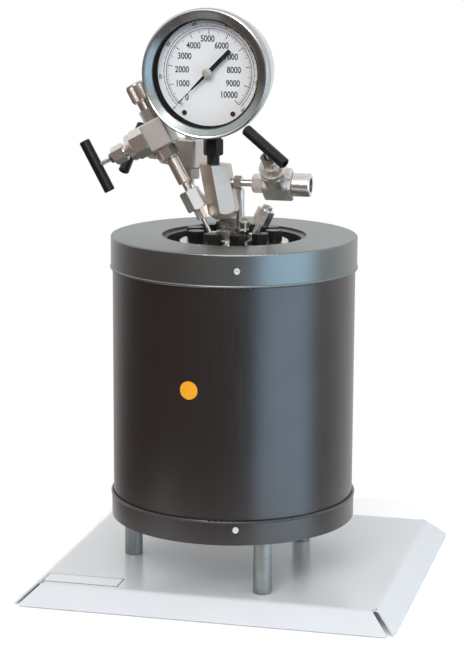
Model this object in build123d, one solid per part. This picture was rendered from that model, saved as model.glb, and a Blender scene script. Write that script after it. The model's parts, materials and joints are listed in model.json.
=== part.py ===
from build123d import *
import math
import os

# A bench hydrothermal reactor: a thick-walled pressure vessel with a split-ring
# closure stands in a round electric heater on a folded steel tray. The vessel's
# head carries a pressure gauge, three needle valves and the safety fittings.
# Millimetres, +Z up, gauge facing -Y. The origin is the middle of the tray's
# footprint on the bench. Everything above the tray is drawn about the heater's
# own axis and moved onto it at the end.

# ---------------------------------------------------------------- base tray
tray_width = 341.0            # flat top, left to right
tray_depth = 314.0            # flat top, front to back
tray_height = 20.0            # bench to the top of the sheet
tray_flange_reach = 20.0      # how far each sloping flange stands out
tray_sheet = 2.0
tray_slit = 4.5               # open corner between two flanges
tray_corner_radius = 8.0
heater_x = 0.0                # heater axis, from the middle of the tray
heater_y = -40.0

# ---------------------------------------------------------------- heater
leg_length = 54.0
leg_radius = 9.2
leg_inset = 17.5              # leg's axis inside the casing's wall
leg_angles = (180.0, -60.0, 60.0)
leg_screw_radius = 3.0
leg_screw_head = 10.0         # across flats
leg_screw_reach = 12.0        # thread into each end of the leg
leg_screw_head_height = 4.0
leg_chamfer = 0.8
screw_pocket_play = 1.0       # insulation above each screw head

casing_radius = 122.5         # outside of the top and bottom covers
casing_height = 284.0
cover_sheet = 1.5
bottom_rim_height = 23.0
top_skirt_height = 31.0
top_edge_radius = 4.0
bead_radius = 1.6             # rolled bead at the free edge of each cover
shell_sheet = 1.2
shell_play = 0.3              # shell inside the skirts of the covers
opening_radius = 71.7         # well mouth in the top cover
cover_screw_radius = 1.9
cover_screw_head = 3.2
cover_screw_rise = 1.9        # head above the cover
cover_screw_socket = 1.2
cover_screw_web = 0.6         # metal under the socket
cover_screw_angle = -75.0
cover_screw_count = 3
top_screw_drop = 16.0         # below the casing's top
bottom_screw_rise = 15.5      # above the casing's bottom
screw_reach = 3.4

well_radius = 62.0            # inside of the ceramic heater
ceramic_wall = 13.0
hearth_thickness = 22.0
insulation_play = 0.5         # beside the ceramic and the shell
element_count = 9             # turns of resistance ribbon
element_width = 8.0
element_thickness = 0.8
element_groove = 2.0          # depth of each turn's groove in the ceramic
liner_radius = 67.0
liner_wall = 1.0
liner_height = 24.5           # ceramic's top to the liner's edge
liner_drop = 4.0              # liner's edge below the casing's top
gland_rise = 46.0             # cord gland above the casing's bottom
gland_bore = 4.0
gland_thread = 8.0
gland_nut = 10.0              # radius of the domed nut
gland_length = 24.0
gland_flange = 5.0
gland_hex = 20.0
gland_neck = 8.0              # thread inside the shell
gland_seat = 0.6              # flat flange off the round shell
gland_round = 3.0
gland_pocket = 2.0            # insulation round the thread

# ---------------------------------------------------------------- pressure vessel
vessel_bore = 28.0            # radius
vessel_wall = 14.0
vessel_floor = 16.0
vessel_foot_chamfer = 3.0
chamber_round = 8.0
vessel_flange = 4.0           # step of the flange over the wall
vessel_flange_height = 20.0
head_flange_height = 20.0
head_boss_radius = 30.0
head_boss_rise = 18.0         # boss above the head's flange
gasket_thickness = 2.0
gasket_width = 5.0
ring_lip = 14.0               # thickness of the split ring's lips
ring_wall = 7.7
ring_play = 0.3
ring_split = 1.6
bolt_count = 10
bolt_circle = 40.0
bolt_radius = 5.0
bolt_play = 0.2
bolt_head = 15.0              # across flats
bolt_head_height = 12.0
bolt_chamfer = 1.2
band_wall = 3.6
band_height = 24.0
band_rise = 14.0              # above the ring's foot
band_screw_radius = 4.0
band_screw_count = 3
band_screw_angle = 30.0
edge_break = 1.0              # chamfer on turned edges
vessel_top_gap = 6.0          # ring's top below the casing's top

# ---------------------------------------------------------------- head fittings
port_depth = 10.0
port_play = 0.05
gauge_port = (-5.6, -4.0)
gauge_stub = 6.0              # radius of the fitting's screwed foot
left_port = (-18.6, -14.0)
left_stub = 3.4
left_foot_hex = 8.4
left_foot_height = 6.0
rear_port = (-16.0, 17.0)
rear_stub = 4.4
rear_foot_hex = 12.0
rear_foot_height = 8.0
thermowell_port = (-6.0, -22.0)
thermowell_stub = 4.6
thermowell_hex = 12.0
thermowell_hex_height = 9.0
disc_port = (22.5, -8.5)
disc_stub = 4.0
disc_foot_hex = 11.0
disc_foot_height = 5.0
disc_tilt = 25.0
disc_neck_radius = 3.2
disc_neck_length = 14.0
disc_cap_hex = 15.5
disc_cap_height = 15.0
disc_outlet_radius = 5.0
disc_outlet_length = 4.0
disc_outlet_bore = 2.4
front_port = (14.0, -20.5)
front_stub = 3.6
front_foot_hex = 10.0
front_foot_height = 4.0
front_tilt = 28.0
front_heading = -70.0         # degrees from +X
front_neck_radius = 3.0
front_nut_hex = 9.5
front_nut_start = 4.0
front_nut_height = 8.0
front_cup_radius = 5.3
front_cup_start = 15.0
front_cup_height = 7.0
front_cup_bore = 3.4
front_cup_floor = 2.0
spare_port = (2.0, 15.5)
spare_stub = 3.8
spare_foot_hex = 12.0
spare_foot_height = 8.0
spare_post_radius = 4.6
spare_post_height = 38.0
thermowell_radius = 3.2
thermowell_bore = 2.0
thermowell_tip = 2.0          # metal at the closed end
thermowell_end_gap = 20.0     # above the chamber floor
dip_tube_radius = 3.2
dip_tube_bore = 1.6
dip_tube_end_gap = 30.0

# ---------------------------------------------------------------- gauge
gauge_x = -20.6               # stem and dial axis, from the heater axis
gauge_y = -4.0                # stem axis
gauge_rise = 91.0             # dial centre above the block's top
bezel_radius = 63.0
bezel_depth = 14.0
bezel_front_radius = 59.5     # where the cone of the ring meets its flat lip
bezel_lip = 3.2               # depth of the cone in front of the window
bezel_round = 1.0
window_radius = 52.5
window_edge = 1.2             # flat step round the window
glass_seat = 2.5              # groove behind the window's edge
glass_play = 0.1
case_radius = 56.0
case_depth = 44.0
case_wall = 2.0
case_front = -22.0            # front of the case, from the stem axis
case_lip = 4.0                # flange behind the bezel
case_lip_depth = 3.0
case_play = 0.3               # case inside the bezel
glass_thickness = 3.0
glass_setback = 3.5           # from the bezel's front
dial_setback = 11.0           # dial behind the glass
dial_radius = 51.5
dial_thickness = 1.2
dial_screw_spacing = 24.3
dial_screw_drop = 39.0
dial_screw_radius = 2.4
dial_screw_height = 1.2
dial_hole_play = 1.0          # dial round the staff
staff_radius = 1.6
staff_play = 0.06
pointer_length = 43.0
pointer_tail = 32.0
pointer_width = 5.0
pointer_tip = 1.0
pointer_thickness = 0.9
pointer_rise = 5.0            # above the dial
hub_radius = 5.0
hub_height = 2.5
pointer_zero_angle = 225.0    # degrees from three o'clock
pinion_radius = 3.2
pinion_play = 1.0             # beside each plate
bourdon_radius = 36.0
bourdon_sweep = 250.0
bourdon_thickness = 4.4
bourdon_width = 10.0
bourdon_seat = 2.4            # socket's top above the middle of the tube
movement_width = 30.0
movement_height = 42.0
movement_neck = 15.0          # width of the strip down to the socket
pillar_radius = 2.0
pillar_inset = 4.0
movement_plate = 2.5
movement_gap = 7.5            # between the two plates
movement_dial_gap = 3.8       # front plate behind the dial
socket_hex = 17.5
socket_hex_height = 16.0
socket_neck_radius = 6.3
socket_neck_height = 9.0
socket_thread = 12.0
socket_thread_radius = 5.3
socket_body_radius = 8.0      # inside the case
hex_chamfer = 1.2

# ---------------------------------------------------------------- gauge block
block_across_flats = 28.0
block_height = 72.0           # level top face above the head
block_tilt = 11.0             # degrees, leaning to the left
block_nut_across = 18.0
block_nut_height = 11.0
block_foot_hex = 17.0
block_foot_height = 4.5
block_foot_rise = 5.0
block_nut_gap = 1.5           # below and above the nut
block_nut_chamfer = 1.5
block_taper = 7.0
block_taper_radius = 9.5

# ---------------------------------------------------------------- needle valves
valve_length = 29.0           # body along the flow
valve_width = 25.0
valve_port_radius = 4.6       # screwed ends of the body
valve_port_depth = 5.0
valve_flow_radius = 1.6
valve_edge = 1.5
needle_radius = 2.9
needle_tip = 1.2
needle_tip_height = 4.0
seat_depth = 1.0              # the needle's point below the flow axis
stem_play = 0.06
bonnet_hex = 26.0
bonnet_height = 16.0
bonnet_thread = 9.0
bonnet_thread_radius = 9.0
lock_disc_radius = 13.5
lock_disc_height = 5.0
bonnet_neck_radius = 6.0
bonnet_neck_height = 6.0
gland_nut_hex = 16.5
gland_nut_height = 12.8
spindle_radius = 4.0
spindle_collar_radius = 4.75
spindle_collar_height = 4.0
spindle_neck_radius = 2.4
handle_reach = 73.0           # body centre to the bar's axis
handle_radius = 5.5
handle_length = 56.0
handle_socket = 2.9
handle_socket_depth = 9.0
handle_chamfer = 0.8
joint_gap = 0.2               # needle's head to the spindle's foot
needle_travel = 3.0
lift_clearance = 0.4

# Left valve: its flow axis leans left as it rises from the head
left_riser_tilt = 28.4
left_riser_rise = 6.0         # above the head, where the axis leaves its foot
left_riser_shift = 2.8        # the axis starts this far left of the port
left_body_distance = 109.0
left_handle_turn = 0.0
left_arm_radius = 2.2
left_adapter_hex = 9.5
left_adapter_start = 15.0     # along the riser from its start
left_union_start = 25.0
left_union_hex = 18.5
left_union_length = 21.0
left_barrel_start = 54.0
left_barrel_length = 28.0
left_barrel_radius = 6.2
left_spigot = 5.0
end_hex = 16.0                # adapter above the left valve
end_hex_height = 12.0
end_neck_radius = 6.3
end_neck_height = 8.5
end_cap_radius = 9.0
end_cap_height = 19.6
# Right valve: its flow axis runs level out of the block's right flat
right_line_drop = 17.5        # below the block's top
nipple_stub = 4.0
nipple_depth = 8.0            # screwed into the block
nipple_gap = 2.5
nipple_hex = 12.0
nipple_hex_height = 7.5
nipple_radius = 3.5
right_body_distance = 60.7    # block axis to body centre
right_stem_lift = 36.4        # degrees above level, to the front
right_handle_turn = -40.0
outlet_radius = 11.5
outlet_length = 18.0
outlet_bore = 7.2
outlet_depth = 14.0
# Rear valve: its flow axis stands upright behind the gauge stem
rear_body_place = (-52.0, 30.0)
rear_body_rise = 78.0         # above the head
rear_stem_heading = 160.0     # degrees from +X
rear_handle_turn = 36.0
rear_tube_radius = 3.2
rear_bend_radius = 10.0
rear_low_bend = 11.0          # above the foot's hexagon
rear_high_bend = 9.0          # below the line nut
rear_cap_hex = 12.0
rear_cap_height = 9.0
line_nut_hex = 16.5           # gland nut on each valve's inlet
line_nut_length = 11.0
thin_line_radius = 3.2

# ---------------------------------------------------------------- levels and places worked out
tray_top = tray_height
casing_bottom = tray_top + leg_length
casing_top = casing_bottom + casing_height
leg_circle = casing_radius - leg_inset
shell_radius = casing_radius - cover_sheet - shell_play
floor_top = casing_bottom + cover_sheet
hearth_top = floor_top + hearth_thickness
ceramic_radius = well_radius + ceramic_wall
ceramic_top = casing_top - liner_drop - liner_height
insulation_inner = ceramic_radius + insulation_play
ring_top = casing_top - vessel_top_gap
head_flange_top = ring_top - ring_lip
head_bottom = head_flange_top - head_flange_height
vessel_top = head_bottom - gasket_thickness
vessel_radius = vessel_bore + vessel_wall
flange_radius = vessel_radius + vessel_flange
flange_bottom = vessel_top - vessel_flange_height
ring_bottom = flange_bottom - ring_lip
ring_radius = flange_radius + ring_play + ring_wall
head_top = head_flange_top + head_boss_rise
chamber_bottom = hearth_top + vessel_floor
block_top = head_top + block_height
gauge_height = block_top + gauge_rise
right_line_height = block_top - right_line_drop
block_start = block_nut_gap + block_nut_height + block_nut_gap
rear_body = (*rear_body_place, head_top + rear_body_rise)
dial_face_y = gauge_y + case_front - bezel_depth + glass_setback + glass_thickness + dial_setback
glass_y = gauge_y + case_front - bezel_depth + glass_setback
case_front_y = gauge_y + case_front
case_back_y = case_front_y + case_depth
bezel_front_y = case_front_y - bezel_depth
valve_top = valve_width / 2
bonnet_top = valve_top + bonnet_height + lock_disc_height + bonnet_neck_height
gland_top = bonnet_top + gland_nut_height
needle_head = bonnet_top - bonnet_neck_height
body_port_floor = valve_length / 2 - valve_port_depth
line_nut_end = valve_length / 2 + line_nut_length
flat_bottom = (Align.CENTER, Align.CENTER, Align.MIN)

heater_axis = Pos(heater_x, heater_y, 0)
gauge_axis = Plane(origin=(gauge_x, 0, gauge_height), x_dir=(1, 0, 0), z_dir=(0, -1, 0))


# ---------------------------------------------------------------- shared shapes
def rod(radius, length, start=0.0):
    return Pos(0, 0, start) * Cylinder(radius, length, align=flat_bottom)


def tube(outer, inner, start, end):
    return rod(outer, end - start, start) - rod(inner, end - start, start)


def hexagon(across, length, start=0.0, chamfered=0.6):
    """A hexagonal length with its corners turned off at both ends."""
    bar = extrude(RegularPolygon(across / 2, 6, major_radius=False), length)
    corner = across / math.sqrt(3)
    turned_blank = chamfer(Cylinder(corner, length, align=flat_bottom).edges(), chamfered)
    return Pos(0, 0, start) * (bar & turned_blank)


def turned(points):
    """Revolve an outline of (radius, height) points about the Z axis."""
    return revolve(make_face(Plane.XZ * Polyline(*points, close=True)), Axis.Z)


def around(shape, count, first_angle=0.0):
    """Copies of a shape evenly spaced about the Z axis."""
    step = 360 / count
    return [Rot(0, 0, first_angle + index * step) * shape for index in range(count)]


def joined(shapes):
    result = shapes[0]
    for shape in shapes[1:]:
        result = result + shape
    return result


def save(name, shape, place=heater_axis):
    """Write one sub-part; a list of solids becomes one group."""
    if isinstance(shape, list):
        solids = [solid for item in shape for solid in item.solids()]
    else:
        solids = list(shape.solids())
    placed = [place * solid for solid in solids]
    body = placed[0] if len(placed) == 1 else Compound(children=placed)
    export_step(body, os.path.join("parts", name + ".step"))


# ---------------------------------------------------------------- tray and legs
def tray_blank(drop):
    """The tray's outline as a solid with sloping sides, moved down and in by a sheet's thickness."""
    rise = tray_height - drop
    slope = tray_flange_reach / tray_height
    top_width = tray_width - drop
    top_depth = tray_depth - drop
    foot = Rectangle(top_width + 2 * rise * slope, top_depth + 2 * rise * slope)
    return extrude(foot, rise, taper=math.degrees(math.atan(slope)))


def make_base_tray():
    sheet = tray_blank(0) - tray_blank(tray_sheet)
    reach = 2 * tray_flange_reach
    plan = RectangleRounded(tray_width + reach, tray_depth + reach, tray_corner_radius)
    sheet = sheet & Pos(0, 0, -tray_height) * extrude(plan, 3 * tray_height)
    slit_length = 3 * tray_flange_reach
    slit = extrude(SlotCenterToCenter(slit_length, tray_slit), tray_height)
    for side in (1, -1):
        for end in (1, -1):
            angle = math.degrees(math.atan2(end, side))
            corner = Pos(side * tray_width / 2, end * tray_depth / 2, 0)
            sheet = sheet - corner * Rot(0, 0, angle) * Pos(slit_length / 2, 0, 0) * slit
    for x, y in leg_places():
        hole = Pos(x + heater_x, y + heater_y, 0) * rod(leg_screw_radius + bolt_play, tray_height)
        sheet = sheet - hole
    return sheet


def leg_places():
    places = []
    for angle in leg_angles:
        turn = math.radians(angle)
        places.append((leg_circle * math.cos(turn), leg_circle * math.sin(turn)))
    return places


def make_leg():
    leg = chamfer(rod(leg_radius, leg_length).edges(), leg_chamfer)
    lower = rod(leg_screw_radius, leg_screw_reach)
    upper = rod(leg_screw_radius, leg_screw_reach, leg_length - leg_screw_reach)
    return leg - lower - upper


def make_leg_screw():
    """Hexagon screw, point down, with the underside of its head at Z = 0."""
    shank = rod(leg_screw_radius, leg_screw_reach, -leg_screw_reach)
    return hexagon(leg_screw_head, leg_screw_head_height) + shank


# ---------------------------------------------------------------- heater casing
def cover_screw_hole(height):
    hole = Rot(0, 90, 0) * rod(cover_screw_radius, 2 * screw_reach, casing_radius - screw_reach)
    return joined(around(Pos(0, 0, height) * hole, cover_screw_count, cover_screw_angle))


def make_cover_screws(height):
    """Button-head screws, each with a socket in its head."""
    dome = Sphere(cover_screw_head) & rod(cover_screw_head, cover_screw_rise)
    socket = extrude(RegularPolygon(cover_screw_socket, 6), cover_screw_head)
    head = dome - Pos(0, 0, cover_screw_web) * socket
    shank = rod(cover_screw_radius, screw_reach, -screw_reach)
    screw = Pos(casing_radius, 0, height) * Rot(0, 90, 0) * (head + shank)
    return around(screw, cover_screw_count, cover_screw_angle)


def make_bottom_cover():
    inner = casing_radius - cover_sheet
    rim_top = casing_bottom + bottom_rim_height
    cover = turned([
        (0, casing_bottom), (casing_radius, casing_bottom), (casing_radius, rim_top),
        (inner, rim_top), (inner, floor_top), (0, floor_top)])
    bead = Pos(0, 0, rim_top) * Torus(casing_radius - cover_sheet / 2, bead_radius)
    bead = bead - rod(inner, 4 * bead_radius, rim_top - 2 * bead_radius)
    cover = cover + bead
    for x, y in leg_places():
        cover = cover - Pos(x, y, casing_bottom) * rod(leg_screw_radius + bolt_play, cover_sheet)
    return cover - cover_screw_hole(casing_bottom + bottom_screw_rise)


def make_top_cover():
    inner = casing_radius - cover_sheet
    skirt_foot = casing_top - top_skirt_height
    underside = casing_top - cover_sheet
    cover = turned([
        (opening_radius, casing_top), (casing_radius, casing_top), (casing_radius, skirt_foot),
        (inner, skirt_foot), (inner, underside), (opening_radius, underside)])
    outer_edge = cover.edges().filter_by(GeomType.CIRCLE).group_by(Axis.Z)[-1].sort_by(SortBy.RADIUS)[-1]
    cover = fillet(outer_edge, min(top_edge_radius, cover_sheet * 0.9))
    bead = Pos(0, 0, skirt_foot) * Torus(casing_radius - cover_sheet / 2, bead_radius)
    bead = bead - rod(inner, 4 * bead_radius, skirt_foot - 2 * bead_radius)
    return cover + bead - cover_screw_hole(casing_top - top_screw_drop)


def gland_place():
    """Where the cord gland meets the rear of the shell, with Z pointing out."""
    return Pos(0, shell_radius, casing_bottom + gland_rise) * Rot(-90, 0, 0)


def make_outer_shell():
    shell = tube(shell_radius, shell_radius - shell_sheet, floor_top, casing_top - cover_sheet)
    gland_hole = gland_place() * Cylinder(gland_thread + port_play, gland_length)
    shell = shell - cover_screw_hole(casing_bottom + bottom_screw_rise)
    return shell - cover_screw_hole(casing_top - top_screw_drop) - gland_hole


def make_insulation():
    """Ceramic-fibre fill, cut back behind the screws and the cord gland."""
    outer = shell_radius - shell_sheet - insulation_play
    top = casing_top - cover_sheet
    fill = tube(outer, insulation_inner, floor_top, top)
    pocket = leg_screw_head_height + screw_pocket_play
    for x, y in leg_places():
        fill = fill - Pos(x, y, floor_top) * rod(leg_screw_head, pocket)
    return fill - gland_place() * Cylinder(gland_thread + gland_pocket, 2 * (gland_neck + gland_pocket))


def make_ceramic_heater():
    body = tube(ceramic_radius, well_radius, hearth_top, ceramic_top)
    for height in element_heights():
        body = body - Pos(0, 0, height) * Cylinder(well_radius + element_groove, element_width)
    return body


def element_heights():
    pitch = (ceramic_top - hearth_top) / (element_count + 1)
    return [hearth_top + pitch * (index + 1) for index in range(element_count)]


def make_heating_element():
    outer = well_radius + element_groove
    turn = tube(outer, outer - element_thickness, -element_width / 2, element_width / 2)
    return [Pos(0, 0, height) * turn for height in element_heights()]


def make_liner():
    return tube(liner_radius + liner_wall, liner_radius, ceramic_top, casing_top - liner_drop)


def make_cord_gland():
    """Flange against the shell, screwed neck through it and a domed nut outside."""
    flange = hexagon(gland_hex, gland_flange)
    neck = rod(gland_thread, gland_neck + gland_flange, -gland_neck)
    nut = rod(gland_nut, gland_length - gland_flange, gland_flange)
    nut = fillet(nut.edges().group_by(Axis.Z)[-1], gland_round)
    bore = rod(gland_bore, gland_neck + gland_length, -gland_neck)
    return gland_place() * Pos(0, 0, gland_seat) * (flange + neck + nut - bore)


# ---------------------------------------------------------------- vessel and closure
def make_vessel_cup():
    wall = rod(vessel_radius, vessel_top - hearth_top, hearth_top)
    outer = chamfer(wall.edges().group_by(Axis.Z)[0], vessel_foot_chamfer)
    flange = rod(flange_radius, vessel_flange_height, flange_bottom)
    chamber = rod(vessel_bore, vessel_top - chamber_bottom, chamber_bottom)
    chamber = fillet(chamber.edges().group_by(Axis.Z)[0], chamber_round)
    return outer + flange - chamber


def make_head_gasket():
    return tube(vessel_bore + gasket_width, vessel_bore, vessel_top, head_bottom)


def port_places():
    """Head ports as (place, radius of the screwed foot)."""
    return [
        (gauge_port, gauge_stub), (left_port, left_stub), (rear_port, rear_stub),
        (thermowell_port, thermowell_stub), (disc_port, disc_stub), (front_port, front_stub),
        (spare_port, spare_stub)]


def make_vessel_head():
    head = rod(flange_radius, head_flange_height, head_bottom)
    boss = rod(head_boss_radius, head_boss_rise, head_flange_top)
    head = head + chamfer(boss.edges().group_by(Axis.Z)[-1], edge_break)
    for (x, y), radius in port_places():
        hole = rod(radius + port_play, port_depth, head_top - port_depth)
        head = head - Pos(x, y, 0) * hole
    through = head_top - head_bottom
    for (x, y), radius in ((thermowell_port, thermowell_radius), (left_port, dip_tube_radius)):
        head = head - Pos(x, y, 0) * rod(radius + port_play, through, head_bottom)
    for x, y in (gauge_port, rear_port, disc_port, front_port, spare_port):
        head = head - Pos(x, y, 0) * rod(valve_flow_radius, through, head_bottom)
    return head


def make_clamp_ring():
    """Both halves of the split ring, still as one turned piece with bolt holes."""
    seat = flange_radius + ring_play
    ring = turned([
        (vessel_radius + ring_play, ring_bottom), (ring_radius, ring_bottom), (ring_radius, ring_top),
        (head_boss_radius + ring_play, ring_top), (head_boss_radius + ring_play, head_flange_top),
        (seat, head_flange_top), (seat, flange_bottom), (vessel_radius + ring_play, flange_bottom)])
    hole = Pos(bolt_circle, 0, head_flange_top) * rod(bolt_radius + bolt_play, ring_lip)
    return ring - joined(around(hole, bolt_count))


def clamp_half(ring, side):
    half = Pos(side * (ring_radius + ring_split / 2), 0, (ring_top + ring_bottom) / 2)
    return ring & half * Box(2 * ring_radius, 4 * ring_radius, 2 * (ring_top - ring_bottom))


def make_clamp_bolts():
    head = hexagon(bolt_head, bolt_head_height, ring_top, bolt_chamfer)
    bolt = head + rod(bolt_radius, ring_lip, head_flange_top)
    return around(Pos(bolt_circle, 0, 0) * bolt, bolt_count)


def make_drop_band():
    start = ring_bottom + band_rise
    band = tube(ring_radius + ring_play + band_wall, ring_radius + ring_play, start, start + band_height)
    screw = Rot(0, 90, 0) * Cylinder(band_screw_radius, 2 * band_wall)
    place = Pos(ring_radius + band_wall, 0, start + band_height / 2)
    lugs = around(place * screw, band_screw_count, band_screw_angle)
    return band + lugs - rod(ring_radius + ring_play, band_height, start)


# ---------------------------------------------------------------- head fittings
def foot(radius, across, height, place):
    """Screwed foot of a fitting, with a hexagon standing on the head."""
    stub = rod(radius, port_depth, head_top - port_depth)
    return Pos(place[0], place[1], 0) * (stub + hexagon(across, height, head_top))


def leaning(place, height, tilt, heading):
    """A plane at a head port whose Z axis leans by tilt towards heading, in degrees."""
    lean = math.radians(tilt)
    turn = math.radians(heading)
    direction = (math.sin(lean) * math.cos(turn), math.sin(lean) * math.sin(turn), math.cos(lean))
    return Plane(origin=(place[0], place[1], height), x_dir=(math.cos(lean), 0, 0), z_dir=direction)


def upright_plane(place, height, tilt):
    """A plane leaning to the left, in the XZ plane, by tilt degrees."""
    lean = math.radians(tilt)
    direction = (-math.sin(lean), 0, math.cos(lean))
    return Plane(origin=(place[0], place[1], height), x_dir=(math.cos(lean), 0, math.sin(lean)), z_dir=direction)


def make_thermowell():
    plug = foot(thermowell_stub, thermowell_hex, thermowell_hex_height, thermowell_port)
    end = chamber_bottom + thermowell_end_gap
    floor = end + thermowell_tip
    pocket = Pos(*thermowell_port, 0) * rod(thermowell_bore, head_top + thermowell_hex_height - floor, floor)
    stem = Pos(*thermowell_port, 0) * rod(thermowell_radius, head_top - end, end)
    return plug + stem - pocket


def make_dip_tube():
    end = chamber_bottom + dip_tube_end_gap
    top = head_top - port_depth
    return Pos(*left_port, 0) * tube(dip_tube_radius, dip_tube_bore, end, top)


def make_rupture_disc_holder():
    """Safety disc between a leaning nipple and its hexagon cap with an open outlet."""
    base = foot(disc_stub, disc_foot_hex, disc_foot_height, disc_port)
    line = leaning(disc_port, head_top + disc_foot_height - 2, disc_tilt, 0)
    cap_top = disc_neck_length + disc_cap_height
    arm = rod(disc_neck_radius, disc_neck_length) + hexagon(disc_cap_hex, disc_cap_height, disc_neck_length)
    arm = arm + rod(disc_outlet_radius, disc_outlet_length, cap_top)
    bore_start = disc_neck_length + disc_outlet_length
    return base + line * (arm - rod(disc_outlet_bore, disc_cap_height, bore_start))


def make_front_fitting():
    """Short outlet fitting with an open mouth, leaning to the front."""
    base = foot(front_stub, front_foot_hex, front_foot_height, front_port)
    line = leaning(front_port, head_top + front_foot_height / 2, front_tilt, front_heading)
    arm = rod(front_neck_radius, front_cup_start + 1) + hexagon(front_nut_hex, front_nut_height, front_nut_start)
    arm = arm + rod(front_cup_radius, front_cup_height, front_cup_start)
    return base + line * (arm - rod(front_cup_bore, front_cup_height, front_cup_start + front_cup_floor))


def make_spare_port_adapter():
    base = foot(spare_stub, spare_foot_hex, spare_foot_height, spare_port)
    post = rod(spare_post_radius, spare_post_height, head_top + spare_foot_height)
    return base + Pos(*spare_port, 0) * fillet(post.edges().group_by(Axis.Z)[-1], edge_break)


# ---------------------------------------------------------------- gauge block
block_axis = upright_plane(gauge_port, head_top + block_foot_rise, block_tilt)


def block_centre_x(height):
    """The leaning block's axis, left of the port by its height."""
    return gauge_port[0] - (height - head_top - block_foot_rise) * math.tan(math.radians(block_tilt))


def make_gauge_block():
    length = (block_top - head_top) / math.cos(math.radians(block_tilt))
    bar = extrude(Rot(0, 0, 30) * RegularPolygon(block_across_flats / 2, 6, major_radius=False), length)
    corner = block_across_flats / math.sqrt(3)
    cone = turned([
        (0, block_start), (block_taper_radius, block_start), (corner, block_start + block_taper),
        (corner, length), (0, length)])
    body = block_axis * (bar & cone)
    above = Pos(gauge_x, gauge_y, block_top) * Box(length, length, length, align=flat_bottom)
    stem_hole = rod(socket_thread_radius + port_play, socket_thread, block_top - socket_thread)
    body = body - above - Pos(gauge_x, gauge_y, 0) * stem_hole
    line = Pos(block_centre_x(right_line_height), gauge_y, right_line_height) * Rot(0, 90, 0)
    side_hole = line * rod(nipple_stub + port_play, block_across_flats, block_across_flats / 2 - nipple_depth)
    passage = block_axis * rod(valve_flow_radius, length / 2, block_start)
    return body - side_hole - passage


def make_block_union():
    base = foot(gauge_stub, block_foot_hex, block_foot_height, gauge_port)
    nut = hexagon(block_nut_across, block_nut_height, block_nut_gap, block_nut_chamfer)
    nipple = rod(gauge_stub, block_start + block_nut_gap, -block_nut_gap)
    return base + block_axis * (nut + nipple)


# ---------------------------------------------------------------- gauge
def dial_ring(outer, inner, front, back):
    """A ring about the dial axis between two Y stations, front being nearer -Y."""
    return gauge_axis * tube(outer, inner, -back, -front)


def make_gauge_case():
    wall = dial_ring(case_radius, case_radius - case_wall, case_front_y, case_back_y)
    back = gauge_axis * rod(case_radius, case_wall, -case_back_y)
    lip = dial_ring(case_radius + case_lip, case_radius - case_wall, case_front_y, case_front_y + case_lip_depth)
    stem = Pos(gauge_x, gauge_y, gauge_height - case_radius - case_lip) * rod(socket_body_radius + bolt_play, 3 * case_lip)
    return wall + back + lip - stem


def make_bezel_ring():
    """Turned ring: a flat front lip, a conical face down to the window and a knurled rim."""
    front = bezel_depth
    glass_back = front - glass_setback - glass_thickness
    outline = [
        (window_radius, front - bezel_lip), (window_radius + window_edge, front - bezel_lip),
        (bezel_front_radius, front), (bezel_radius - bezel_round, front), (bezel_radius, front - bezel_round),
        (bezel_radius, 0), (case_radius + case_play, 0), (case_radius + case_play, glass_back),
        (window_radius, glass_back + glass_seat)]
    body = gauge_axis * Pos(0, 0, -case_front_y) * turned(outline)
    return body - gauge_axis * rod(window_radius + glass_seat, glass_thickness, -glass_y - glass_thickness)


def make_gauge_glass():
    radius = window_radius + glass_seat - glass_play
    return gauge_axis * rod(radius, glass_thickness, -glass_y - glass_thickness)


def make_dial_face():
    return dial_ring(dial_radius, staff_radius + dial_hole_play, dial_face_y, dial_face_y + dial_thickness)


def make_dial_screws():
    screws = []
    for side in (-1, 1):
        place = Pos(side * dial_screw_spacing, -dial_screw_drop, -dial_face_y)
        screws.append(gauge_axis * place * rod(dial_screw_radius, dial_screw_height))
    return screws


def make_pointer():
    """Tapered needle with a broad tail and a round hub, drawn pointing up, turned to zero."""
    outline = make_face(Polyline(
        (-pointer_tip / 2, pointer_length), (pointer_tip / 2, pointer_length), (pointer_width / 2, 0),
        (pointer_width / 2, -pointer_tail), (-pointer_width / 2, -pointer_tail), (-pointer_width / 2, 0), close=True))
    blade = extrude(outline, pointer_thickness) + rod(hub_radius, hub_height)
    blade = blade - rod(staff_radius, hub_height)
    return gauge_axis * Pos(0, 0, -dial_face_y + pointer_rise) * Rot(0, 0, pointer_zero_angle - 90) * blade


def make_pointer_staff():
    """Arbor through the dial and both movement plates, with its pinion between them."""
    rear = -dial_face_y - dial_thickness - movement_dial_gap - movement_gap - 2 * movement_plate
    front = -dial_face_y + pointer_rise + hub_height
    staff = gauge_axis * rod(staff_radius, front - rear, rear)
    pinion_start = rear + movement_plate + pinion_play
    pinion = gauge_axis * rod(pinion_radius, movement_gap - 2 * pinion_play, pinion_start)
    return staff + pinion


def make_movement():
    """Two brass plates on pillars: the rear one stands on the socket, the pillars carry the dial."""
    dial_back = -dial_face_y - dial_thickness
    front_plate = dial_back - movement_dial_gap - movement_plate
    rear_plate = front_plate - movement_gap - movement_plate
    socket_level = bourdon_seat - bourdon_radius
    plate = extrude(Rectangle(movement_width, movement_height), movement_plate)
    tall_height = movement_height / 2 - socket_level
    tall = Pos(0, movement_height / 2 - tall_height / 2, 0) * Rectangle(movement_neck, tall_height)
    shape = Pos(0, 0, front_plate) * plate + Pos(0, 0, rear_plate) * plate
    shape = shape + Pos(0, 0, rear_plate) * extrude(tall, movement_plate)
    for x in (-1, 1):
        for y in (-1, 1):
            place = Pos(x * (movement_width / 2 - pillar_inset), y * (movement_height / 2 - pillar_inset), 0)
            shape = shape + place * rod(pillar_radius, dial_back - rear_plate, rear_plate)
    return gauge_axis * (shape - rod(staff_radius + staff_play, dial_back - rear_plate, rear_plate))


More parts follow.
